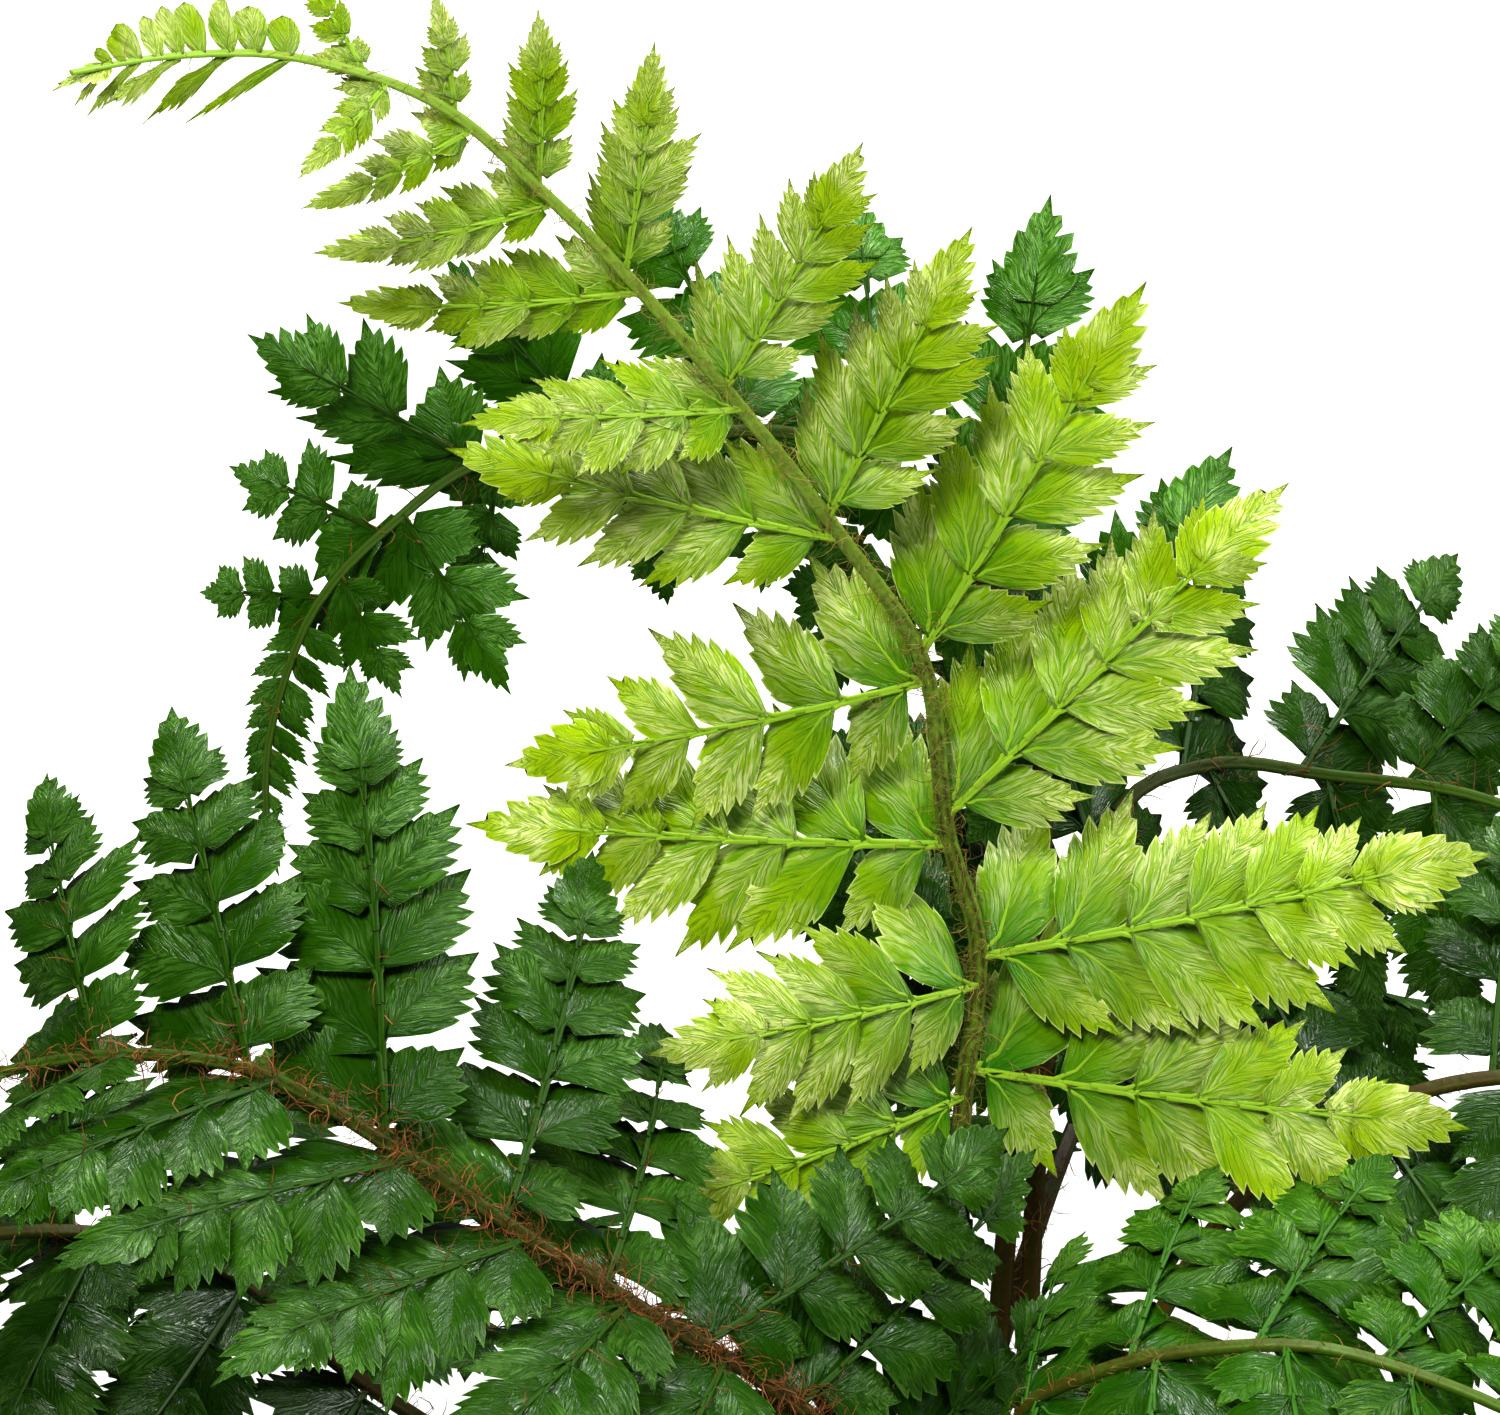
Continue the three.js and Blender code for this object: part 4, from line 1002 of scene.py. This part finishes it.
def hair_blank(name, width, flatness, belly, curl, seed):
    draw = random.Random(seed)
    place, way, side = Vector((0, 0, 0)), Vector((0, 0, 1)), Vector((1, 0, 0))
    axis = Vector((draw.random() - 0.5, draw.random() - 0.5, 0.3 * draw.random())).normalized()
    verts, faces = [], []
    for step in range(HAIR_SEGMENTS):
        t = step / HAIR_SEGMENTS
        half = width / 2 * (1 - t) ** 0.6 * (1 + belly * math.sin(math.pi * t))
        out = way.cross(side)
        for corner in range(3):
            angle = 2 * math.pi * corner / 3
            verts.append(place + side * half * math.cos(angle) + out * half * flatness * math.sin(angle))
        axis = (axis + HAIR_WANDER * Vector([draw.random() - 0.5 for _ in range(3)])).normalized()
        turn = Quaternion(axis, curl * loosely(draw, LOOSE_HAIR_CURL))
        place = place + way / HAIR_SEGMENTS
        way.rotate(turn)
        side.rotate(turn)
    verts.append(place)
    for step in range(HAIR_SEGMENTS - 1):
        for corner in range(3):
            a, b = step * 3 + corner, step * 3 + (corner + 1) % 3
            faces.append((a, b, b + 3, a + 3))
    top = (HAIR_SEGMENTS - 1) * 3
    faces += [(top + c, top + (c + 1) % 3, len(verts) - 1) for c in range(3)]
    faces.append((2, 1, 0))
    return bpy.data.objects.new(name, mesh_of(name, verts, faces=faces))


def hair_blanks(name, **shape):
    return collected(name, [
        hair_blank(f"{name}_{variant}", seed=variant + 1, **shape) for variant in range(HAIR_VARIANTS)])


# Stalks and ribs

def section_object(name, outline):
    """A closed outline of unit radius, as the section that stalks are drawn with."""
    count = len(outline)
    mesh = mesh_of(name, [(x, y, 0) for x, y in outline], [(i, (i + 1) % count) for i in range(count)])
    write_attribute(mesh, "ridge", [float(i in (1, count - 1)) for i in range(count)])
    return placed(name, mesh)


SECTION_HEIGHT = 0.75
SECTION_BREADTH = 1.2


def grooved_outline(sides, groove):
    """A rounded outline whose uppermost point is sunk by the groove's depth, between two ridges."""
    outline = []
    for side in range(sides):
        angle = 2 * math.pi * side / sides
        outline.append((
            SECTION_HEIGHT * math.cos(angle) - (groove if side == 0 else 0),
            SECTION_BREADTH * math.sin(angle),
        ))
    return outline


# How hairy the stalk and the ribs are along their length, and how brown the stalk is
STALK_HAIR = [(0, 1), (0.45, 1), (0.7, 0.7), (0.9, 0.45), (1, 0.2)]
RIB_HAIR = [(0, 1), (0.08, 0.45), (0.2, 0.09), (1, 0.03)]
STALK_BROWN = [(0, 1), (0.4, 0.9), (0.6, 0.55), (0.8, 0.25), (1, 0.1)]


def stalk_rows(frond, stalk, pinnae, lowest):
    """The chains of points of a frond's stalk and of its pinnae's ribs, and the edges that join them."""
    rows, edges = [], []

    def chain(points):
        first = len(rows)
        rows.extend(points)
        edges.extend((first + i, first + i + 1) for i in range(len(points) - 1))

    count = round(stalk.length / STALK_STEP)
    points = []
    for index in range(count + 1):
        distance = stalk.length * index / count
        _, face, _ = stalk.axes(distance)
        points.append({
            "place": stalk.at(distance), "face": tuple(face),
            "radius_m": float(stalk.radius(distance, lowest) * DRAWN_RADIUS * MM), "rib": 0.0,
            "hairy": on_profile(STALK_HAIR, distance / stalk.length),
            "browned": on_profile(STALK_BROWN, distance / stalk.length),
        })
    chain(points)
    stations = DETAIL[frond["detail"]]["along_rib"]
    for pinna in pinnae:
        end = pinna.start_of(1) - RIB_SHORT_OF_END * pinna.length
        scale = THINNEST_RIB + (1 - THINNEST_RIB) * pinna.length / LONGEST_PINNA
        points = []
        for index in range(stations + 1):
            part = index / stations
            point, _, _, face = pinna.rib(end * part)
            radius = scale * (RIB_RADIUS + (RIB_TIP_RADIUS - RIB_RADIUS) * part)
            points.append({
                "place": point - face * RIB_SUNK, "face": tuple(face), "radius_m": float(radius * MM),
                "rib": 1.0, "hairy": on_profile(RIB_HAIR, part), "browned": 0.0,
            })
        chain(points)
    return rows, edges


def midvein_rows(midveins):
    """The chains of points of the leaflets' midveins, and the edges that join them."""
    rows, edges = [], []
    for vein, length in midveins:
        for index, (point, up) in enumerate(vein):
            part = index / (len(vein) - 1)
            if index:
                edges.append((len(rows) - 1, len(rows)))
            radius = MIDVEIN_RADIUS * length * (1 - MIDVEIN_TAPER * part)
            rows.append({
                "place": point, "face": tuple(up), "radius_m": float(radius * MM), "rib": 1.0,
                "browned": 0.0,
            })
    return rows, edges


# Materials. The pattern sizes are in millimetres.

def new_material(name):
    """A material with an empty node tree, and that tree."""
    material = bpy.data.materials.new(name)
    material.use_nodes = True
    material.node_tree.nodes.clear()
    return material, material.node_tree


def leaf_material(name, blade, pale, vein, inner, roughness, gloss, relief):
    """Fern leaflet: soft tissue under a waxy skin, which is quilted between veins that fan out to the teeth.
    The wax gives a satin sheen that the quilting breaks into streaks along the veins. Its highlight is also
    painted into the colour, as pale streaks in pale patches and a pale rim."""
    material, tree = new_material(name)
    uv = add(tree, "ShaderNodeUVMap", uv_map="veins")
    split = add(tree, "ShaderNodeSeparateXYZ", {0: uv.outputs["UV"]})
    fan, across = split.outputs[0], split.outputs[1]
    tone, inner_part, outward = (
        add(tree, "ShaderNodeAttribute", attribute_name=key).outputs["Fac"]
        for key in ("tone", "inner", "outward"))
    place = add(tree, "ShaderNodeTexCoord").outputs["Object"]

    # Veins fan out from the leaflet's base about 1.5 mm apart, waver over 4 mm, and fork where the noise that
    # sets them apart does
    wobble = add(tree, "ShaderNodeTexNoise", {"Vector": place, "Scale": 1 / (4 * MM), "Detail": 2.0})
    shift = add(tree, "ShaderNodeMath", {0: wobble.outputs["Fac"], 1: 1.6}, operation="MULTIPLY")
    rows = add(tree, "ShaderNodeMath", {0: fan, 1: 9.0, 2: shift.outputs[0]}, operation="MULTIPLY_ADD")

    def drawn_out(number, along, apart):
        """The leaflet's own space, with a number of rows across the veins and drawn out along them. Leaflets
        lie apart in it by their tone."""
        scaled = [
            add(tree, "ShaderNodeMath", {0: value, 1: factor}, operation="MULTIPLY").outputs[0]
            for value, factor in ((rows.outputs[0], number), (across, along), (tone, apart))]
        return add(tree, "ShaderNodeCombineXYZ", dict(enumerate(scaled))).outputs[0]

    between = add(tree, "ShaderNodeTexNoise", {
        "Vector": drawn_out(1.1, 1.8, 55.0), "Scale": 1.0, "Detail": 1.0, "Roughness": 0.4}).outputs["Fac"]
    off_line = add(tree, "ShaderNodeMath", {0: between, 1: 0.5}, operation="SUBTRACT")
    wave = add(tree, "ShaderNodeMath", {0: off_line.outputs[0]}, operation="ABSOLUTE")
    quilt = add(tree, "ShaderNodeMapRange", {"Value": wave.outputs[0], "From Max": 0.08},
                interpolation_type="SMOOTHSTEP").outputs["Result"]

    # Fine wrinkles, long along the veins and half a millimetre apart, and patches of 9 mm where a painted
    # highlight shows
    wrinkle = add(tree, "ShaderNodeTexNoise", {
        "Vector": drawn_out(2.2, 5.0, 40.0), "Scale": 1.0, "Detail": 3.0, "Roughness": 0.62,
        "Distortion": 0.9}).outputs["Fac"]
    highlight_patch_noise = add(tree, "ShaderNodeTexNoise", {
        "Vector": place, "Scale": 1 / (9 * MM), "Detail": 1.0}).outputs["Fac"]

    # Colour: a painted highlight of paler streaks between the veins in pale patches, darker along the sunken
    # veins (partly their own green, partly painted shade in their grooves), greener towards the stalk (partly
    # the leaflet's own colour, partly painted shade near the stalk), and a painted highlight along the rim
    highlight_streak = add(tree, "ShaderNodeMapRange", {"Value": wrinkle, "From Min": 0.42, "From Max": 0.6})
    highlight_patches = add(tree, "ShaderNodeMapRange", {"Value": highlight_patch_noise, "From Min": 0.4, "From Max": 0.58})
    painted_highlight_part = add(tree, "ShaderNodeMath", {
        0: highlight_streak.outputs["Result"], 1: highlight_patches.outputs["Result"]}, operation="MULTIPLY").outputs[0]
    # Darker along the sunken veins: partly the veins' own green, partly painted shade in their grooves
    vein_and_groove_shade_part = add(tree, "ShaderNodeMapRange", {
        "Value": quilt, "From Min": 0.0, "From Max": 0.6, "To Min": 0.6, "To Max": 0.0}).outputs["Result"]
    # Greener towards the stalk and the leaflet's base: partly the leaflet's own colour, partly painted shade
    # near the stalk
    base_part = add(tree, "ShaderNodeMapRange", {
        "Value": outward, "From Min": 0.1, "From Max": 0.9, "To Min": 1.0, "To Max": 0.1}).outputs["Result"]
    green_and_shade_part = add(tree, "ShaderNodeMath", {0: inner_part, 1: base_part}, operation="MULTIPLY").outputs[0]
    # A narrow pale band along the rim, a painted highlight
    off_middle = add(tree, "ShaderNodeMath", {0: across, 1: 0.5}, operation="SUBTRACT")
    to_rim = add(tree, "ShaderNodeMath", {0: off_middle.outputs[0]}, operation="ABSOLUTE")
    painted_rim_highlight = add(tree, "ShaderNodeMapRange", {
        "Value": to_rim.outputs[0], "From Min": 0.47, "From Max": 0.5, "To Max": 0.7}).outputs["Result"]
    colour = linear(blade)
    for part, paint in ((painted_highlight_part, pale), (vein_and_groove_shade_part, vein), (green_and_shade_part, inner), (painted_rim_highlight, pale)):
        colour = add(
            tree, "ShaderNodeMix", {0: part, 6: colour, 7: linear(paint)}, data_type="RGBA").outputs[2]
    # Each leaflet lighter or darker by its tone: a random part, plus its frond's painted light or painted
    # shade
    light = add(tree, "ShaderNodeMapRange", {"Value": tone, "To Min": 0.84, "To Max": 1.1}, clamp=False)
    colour = add(tree, "ShaderNodeMix", {0: 1.0, 6: colour, 7: light.outputs["Result"]},
                 data_type="RGBA", blend_type="MULTIPLY").outputs[2]

    # Relief: the quilting and the wrinkles, which are glossier on their ridges
    soft_quilt = add(tree, "ShaderNodeMath", {0: quilt, 1: 0.35}, operation="MULTIPLY").outputs[0]
    height = add(tree, "ShaderNodeMath", {
        0: wrinkle, 1: 1.2, 2: soft_quilt}, operation="MULTIPLY_ADD").outputs[0]
    bump = add(tree, "ShaderNodeBump", {"Height": height, "Strength": relief, "Distance": 0.25 * MM})
    rough = add(tree, "ShaderNodeMapRange", {
        "Value": wrinkle, "From Min": 0.35, "From Max": 0.65, "To Min": roughness + 0.1,
        "To Max": roughness - 0.08})
    skin = add(tree, "ShaderNodeBsdfPrincipled", {
        "Base Color": colour, "Roughness": rough.outputs["Result"], "IOR": 1.45,
        "Specular IOR Level": gloss, "Normal": bump.outputs["Normal"],
    })
    add(tree, "ShaderNodeOutputMaterial", {"Surface": skin.outputs["BSDF"]})
    return material


def stalk_material(name, young, old, groove, rib_green):
    """Fern stalk: a fibrous rind with blotches, dark low down and greener higher up. The ribs are pale along
    their ridges and dark in the groove between them."""
    material, tree = new_material(name)
    place = add(tree, "ShaderNodeTexCoord").outputs["Object"]
    rib, ridge, browned = (
        add(tree, "ShaderNodeAttribute", attribute_name=key).outputs["Fac"]
        for key in ("rib", "ridge", "browned"))
    blotch = add(tree, "ShaderNodeTexNoise", {"Vector": place, "Scale": 1 / (5 * MM), "Detail": 3.0})
    fibre = add(tree, "ShaderNodeTexNoise", {"Vector": place, "Scale": 1 / (0.7 * MM), "Detail": 2.0})
    uneven = add(tree, "ShaderNodeMath", {
        0: blotch.outputs["Fac"], 1: fibre.outputs["Fac"]}, operation="ADD").outputs[0]
    worn = add(tree, "ShaderNodeMath", {0: browned, 1: uneven}, operation="MULTIPLY")
    old_part = add(tree, "ShaderNodeMapRange", {
        "Value": worn.outputs[0], "From Min": 0.3, "From Max": 0.9}).outputs["Result"]
    off_ridge = add(tree, "ShaderNodeMath", {0: 1.0, 1: ridge}, operation="SUBTRACT").outputs[0]
    groove_part = add(tree, "ShaderNodeMath", {0: off_ridge, 1: 0.55}, operation="MULTIPLY").outputs[0]
    colour = linear(young)
    for part, paint in ((old_part, old), (rib, rib_green), (groove_part, groove)):
        colour = add(
            tree, "ShaderNodeMix", {0: part, 6: colour, 7: linear(paint)}, data_type="RGBA").outputs[2]
    bump = add(tree, "ShaderNodeBump", {
        "Height": fibre.outputs["Fac"], "Strength": 0.3, "Distance": 0.15 * MM})
    rind = add(tree, "ShaderNodeBsdfPrincipled", {
        "Base Color": colour, "Roughness": 0.5, "IOR": 1.45, "Specular IOR Level": 0.3,
        "Normal": bump.outputs["Normal"]})
    add(tree, "ShaderNodeOutputMaterial", {"Surface": rind.outputs["BSDF"]})
    return material


def papery_material(name, dark, light, pattern):
    """Dry plant tissue, such as scales and old rhizome: dull, and uneven in its browns."""
    material, tree = new_material(name)
    place = add(tree, "ShaderNodeTexCoord").outputs["Object"]
    tone = add(tree, "ShaderNodeAttribute", attribute_name="tone").outputs["Fac"]
    grain = add(tree, "ShaderNodeTexNoise", {"Vector": place, "Scale": 1 / (pattern * MM), "Detail": 4.0})
    both = add(tree, "ShaderNodeMath", {0: tone, 1: 0.6, 2: grain.outputs["Fac"]}, operation="MULTIPLY_ADD")
    part = add(tree, "ShaderNodeMapRange", {"Value": both.outputs[0], "From Min": 0.3, "From Max": 1.1})
    colour = add(tree, "ShaderNodeMix", {0: part.outputs["Result"], 6: linear(dark), 7: linear(light)},
                 data_type="RGBA").outputs[2]
    bump = add(tree, "ShaderNodeBump", {
        "Height": grain.outputs["Fac"], "Strength": 0.5, "Distance": 0.3 * MM})
    paper = add(tree, "ShaderNodeBsdfPrincipled", {
        "Base Color": colour, "Roughness": 0.7, "Normal": bump.outputs["Normal"]})
    add(tree, "ShaderNodeOutputMaterial", {"Surface": paper.outputs["BSDF"]})
    return material


# Crown

def closed_rings(rings):
    """Faces between rings of points, from the lowest ring up, with both ends closed."""
    sides = len(rings[0])
    faces = []
    for number in range(len(rings) - 1):
        for side in range(sides):
            a, b = number * sides + side, number * sides + (side + 1) % sides
            faces.append((a, b, b + sides, a + sides))
    faces.append(tuple(reversed(range(sides))))
    top = (len(rings) - 1) * sides
    faces.append(tuple(top + side for side in range(sides)))
    return [tuple(point) for ring in rings for point in ring], faces


RHIZOME_SEED = 3
RHIZOME_SIDES = 40
RHIZOME_LEVELS = 18
RHIZOME_TOP = 1.5
KNOBS = (0.93, 0.07)
STUB_OUTLINE = ((0, 1), (0.3, 0.97), (0.6, 0.86), (0.85, 0.78), (0.97, 0.7), (1, 0.55))
STUB_SIDES = 10
STUB_LEAN = (0.75, 0.3)
STUB_KNOBS = (0.9, 0.1)
# The rhizome stays this much inside its solid
INSIDE_HEIGHT = 0.995
INSIDE_RADIUS = 0.95


def rhizome_mesh():
    """The crown's knobbly body, flat underneath, with the stubs of old stalks round it."""
    draw = random.Random(RHIZOME_SEED)
    radii = [row[0] for row in CROWN_PROFILE[1:]]
    heights = [row[1] for row in CROWN_PROFILE[1:]]
    knobs = [[loosely(draw, KNOBS) for _ in range(RHIZOME_SIDES)] for _ in range(RHIZOME_LEVELS + 1)]
    rings = []
    for level in range(RHIZOME_LEVELS + 1):
        height = heights[-1] * level / RHIZOME_LEVELS * INSIDE_HEIGHT
        radius = max(np.interp(height, heights, radii), RHIZOME_TOP)
        rings.append([(
            radius * knobs[level][side] * math.cos(2 * math.pi * side / RHIZOME_SIDES),
            radius * knobs[level][side] * math.sin(2 * math.pi * side / RHIZOME_SIDES), height,
        ) for side in range(RHIZOME_SIDES)])
    verts, faces = closed_rings(rings)
    number = seeded_draw(STUB_SEED)
    for stub in range(STUB_COUNT):
        turn = stub * GOLDEN_ANGLE
        height = STUB_LOWEST + (STUB_HIGHEST - STUB_LOWEST) * stub / (STUB_COUNT - 1)
        outward = np.array([math.cos(turn), math.sin(turn), 0])
        slope = unit(np.array([0, 0, 1]) + outward * (STUB_LEAN[0] + STUB_LEAN[1] * next(number)))
        seat = outward * STUB_RING_RADIUS + np.array([0, 0, height])
        side_way = unit(np.cross(slope, outward))
        other_way = np.cross(slope, side_way)
        rings = []
        for part, share in STUB_OUTLINE:
            centre = seat + slope * STUB_LENGTH * (part - 0.5)
            radius = STUB_RADIUS * share * INSIDE_RADIUS
            rings.append([
                centre + radius * loosely(draw, STUB_KNOBS)
                * (side_way * math.cos(a) + other_way * math.sin(a))
                for a in (2 * math.pi * k / STUB_SIDES for k in range(STUB_SIDES))
            ])
        more_verts, more_faces = closed_rings(rings)
        faces += [tuple(i + len(verts) for i in face) for face in more_faces]
        verts += more_verts
    return mesh_of("rhizome", [tuple(np.array(v) * MM) for v in verts], faces=faces)


# The camera, first of all that is made
camera_data = bpy.data.cameras.new("camera")
camera_data.sensor_width = SENSOR_WIDTH
camera_data.lens = FOCAL_PIXELS * SENSOR_WIDTH / IMAGE_WIDTH
camera_data.clip_start, camera_data.clip_end = 0.05, 20
camera = placed("camera", camera_data)
target = Vector(CAMERA_TARGET) * MM
away = Vector((0, -math.cos(CAMERA_ELEVATION), math.sin(CAMERA_ELEVATION)))
camera.location = target + away * CAMERA_DISTANCE * MM
camera.rotation_euler = away.to_track_quat("Z", "Y").to_euler()
bpy.context.scene.camera = camera

# The three ages of leaf: blade, painted highlight, veins (partly painted shade in their grooves), greener
# base (partly painted shade near the stalk), then roughness, gloss and relief
LEAVES = {
    "lime": leaf_material("young_leaf_wax", "#9cbb06", "#e8f29c", "#548804", "#367604", 0.31, 0.45, 1.0),
    "green": leaf_material("grown_leaf_wax", "#326402", "#6c9a34", "#1b4602", "#1c4c02", 0.21, 0.3, 0.9),
    "dark": leaf_material("old_leaf_wax", "#2b5402", "#5c863a", "#153a02", "#1a4202", 0.19, 0.32, 0.9),
}
LEAF_SLOTS = {"lime": "lime_leaf", "green": "green_leaf", "dark": "dark_leaf"}
STALKS = {
    "lime": stalk_material("green_rind", "#8aa83a", "#3c3418", "#6c961c", "#92b630"),
    "green": stalk_material("olive_rind", "#587820", "#4c3c14", "#274e06", "#376c0a"),
    "dark": stalk_material("brown_rind", "#45601c", "#4a3412", "#1c3a04", "#2c5006"),
}
SCALES = {
    "lime": papery_material("tan_hairs", "#463c14", "#a08c46", 2),
    "green": papery_material("brown_hairs", "#4c3a14", "#9a7c40", 2),
    "dark": papery_material("rusty_scales", "#40260c", "#946030", 2),
}
LEAF_HAIRS = papery_material("pale_hairs", "#80822e", "#bcb66a", 2)
RHIZOME = papery_material("old_rhizome", "#2c1a0e", "#6a4526", 3)

blanks = {detail: leaflet_blanks(detail) for detail in DETAIL}
fine_hairs = hair_blanks("hair", width=0.026, flatness=1, belly=0, curl=0.9)
broad_scales = hair_blanks("scale", width=0.038, flatness=0.4, belly=0.5, curl=0.6)
grooved = section_object("grooved_section", grooved_outline(12, 0.4))
rounded = section_object("round_section", grooved_outline(6, 0))
leaflets_grow, stalks_grow, hairs_grow = leaflet_tree(), stalk_tree(), hair_tree()

# Lengths of hairs and scales in millimetres, and how far they lean from upright, in radians
HAIR_SIZE = {"Length": 4.2 * MM, "Lean": 1.1}
SCALE_SIZE = {"Length": 4.6 * MM, "Lean": 1.1}
LEAF_HAIR_SIZE = {"Length": 1.8 * MM, "Lean": 1.3}
CROWN_SCALE_SIZE = {"Length": 6 * MM, "Lean": 0.8}
CROWN_SCALES = 1100
CROWN_SCALE_SEED = 9
CROWN_BARE_BELOW = 4 * MM


def finish_piece(piece, slot, *nodes):
    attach(piece, "root")
    if nodes:
        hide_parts(*nodes)


def density_for(count, mesh):
    """How many stand on a square metre, for a count on the mesh's hairy surface."""
    hairy = np.zeros(len(mesh.vertices))
    mesh.attributes["hairy"].data.foreach_get("value", hairy)
    return count / sum(polygon.area * hairy[list(polygon.vertices)].mean() for polygon in mesh.polygons)


def grow_frond(frond):
    """Makes one frond's leaflets, stalks, midveins, scales and leaf hairs."""
    name = frond["name"].replace("frond_", "")
    leaf, detail, seed = frond["leaf"], DETAIL[frond["detail"]], frond["seed"]
    draw = random.Random(seed)
    stalk = Stalk(frond)
    pinnae, lowest = pinnae_of(frond, stalk)
    leaflets, midveins = [], []
    # The frond's painted light or painted shade, added to every leaflet's tone
    tone = frond.get("tone", 0)
    for number, pinna in enumerate(pinnae):
        leaflets_on(pinna, draw, number / len(pinnae), tone, leaflets, midveins)
    leaflets_on(FrondTip(frond, stalk), draw, 1.0, tone, leaflets, midveins)
    blades = grown_on_points(
        f"{name}_leaflets", leaflets, (), leaflets_grow, LEAVES[leaf], Blanks=blanks[frond["detail"]])
    finish_piece(blades, LEAF_SLOTS[leaf], frond["name"])
    stalks = grown_on_points(
        f"{name}_stalks", *stalk_rows(frond, stalk, pinnae, lowest), stalks_grow, STALKS[leaf],
        Section=grooved)
    finish_piece(stalks, "rachis", frond["name"])
    if frond["detail"] != "plain":
        veins = grown_on_points(
            f"{name}_midveins", *midvein_rows(midveins), stalks_grow, STALKS[leaf], Section=rounded)
        finish_piece(veins, "rachis")

    cover, size = (broad_scales, SCALE_SIZE) if leaf == "dark" else (fine_hairs, HAIR_SIZE)
    density = density_for(frond.get("scales", detail["scales"]), stalks.data)
    scales = grown(
        stalks, f"{name}_scales", hairs_grow, SCALES[leaf], Blanks=cover, Density=density, Seed=seed, **size)
    finish_piece(scales, "scales")
    if detail["leaf_hairs"]:
        density = density_for(detail["leaf_hairs"], blades.data)
        hairs = grown(
            blades, f"{name}_leaf_hairs", hairs_grow, LEAF_HAIRS, Blanks=fine_hairs, Density=density,
            Seed=seed + 1, **LEAF_HAIR_SIZE)
        finish_piece(hairs, "scales")


for frond in FRONDS:
    grow_frond(frond)

rhizome = placed("rhizome", rhizome_mesh())
rhizome.data.materials.append(RHIZOME)
write_attribute(rhizome.data, "hairy", [float(v.co.z > CROWN_BARE_BELOW) for v in rhizome.data.vertices])
finish_piece(rhizome, "rhizome", "crown")
crown_scales = grown(
    rhizome, "crown_scales", hairs_grow, SCALES["dark"], Blanks=broad_scales,
    Density=density_for(CROWN_SCALES, rhizome.data), Seed=CROWN_SCALE_SEED, **CROWN_SCALE_SIZE)
finish_piece(crown_scales, "scales")

for collection in (*blanks.values(), fine_hairs, broad_scales):
    for blank in list(collection.objects):
        bpy.data.objects.remove(blank)
    bpy.data.collections.remove(collection)
bpy.data.objects.remove(grooved)
bpy.data.objects.remove(rounded)

# A pale floor and soft studio light
FLOOR_REACH = 4
floor_corners = [(x * FLOOR_REACH, y * FLOOR_REACH, 0) for x, y in ((-1, -1), (1, -1), (1, 1), (-1, 1))]
floor = placed("floor", mesh_of("floor", floor_corners, faces=[(0, 1, 2, 3)]))
floor_material, floor_tree = new_material("pale_paper")
floor_paper = add(floor_tree, "ShaderNodeBsdfPrincipled", {"Base Color": linear("#f4f4f2"), "Roughness": 0.9})
add(floor_tree, "ShaderNodeOutputMaterial", {"Surface": floor_paper.outputs["BSDF"]})
floor.data.materials.append(floor_material)
# The leaves don't mirror the floor, so that their wax shows the lamps alone
floor.visible_glossy = False

world = bpy.data.worlds.new("studio")
world.use_nodes = True
background = world.node_tree.nodes["Background"]
background.inputs["Color"].default_value = linear("#ffffff")
background.inputs["Strength"].default_value = 0.08
bpy.context.scene.world = world
bpy.context.scene.view_settings.view_transform = "Standard"
bpy.context.scene.view_settings.look = "Medium High Contrast"


def soft_light(name, place, aim, size, energy, mirrored=True):
    """A square light panel at a place in metres, which looks at another place. Wax mirrors it, or not."""
    data = bpy.data.lights.new(name, "AREA")
    data.size, data.energy = size, energy
    light = placed(name, data)
    light.location = place
    light.rotation_euler = (Vector(place) - Vector(aim)).to_track_quat("Z", "Y").to_euler()
    light.visible_glossy = mirrored


soft_light("key_light", (-0.35, -0.85, 1.3), target, 0.4, 19, mirrored=False)
soft_light("gleam_light", (0.9, -0.5, 1.3), target, 0.2, 5)
soft_light("top_light", (0.1, 0.6, 1.4), target, 0.4, 15)
soft_light("side_light", (1.1, 0.1, 0.8), target, 0.4, 8)

# A lamp that whitens the floor behind the plant
floor_lamp = placed("floor_light", bpy.data.lights.new("floor_light", "SPOT"))
floor_lamp.data.energy, floor_lamp.data.shadow_soft_size = 60, 0.2
floor_lamp.data.spot_size, floor_lamp.data.spot_blend = math.radians(52), 0.7
floor_lamp.location = (0, 1.15, 2.2)
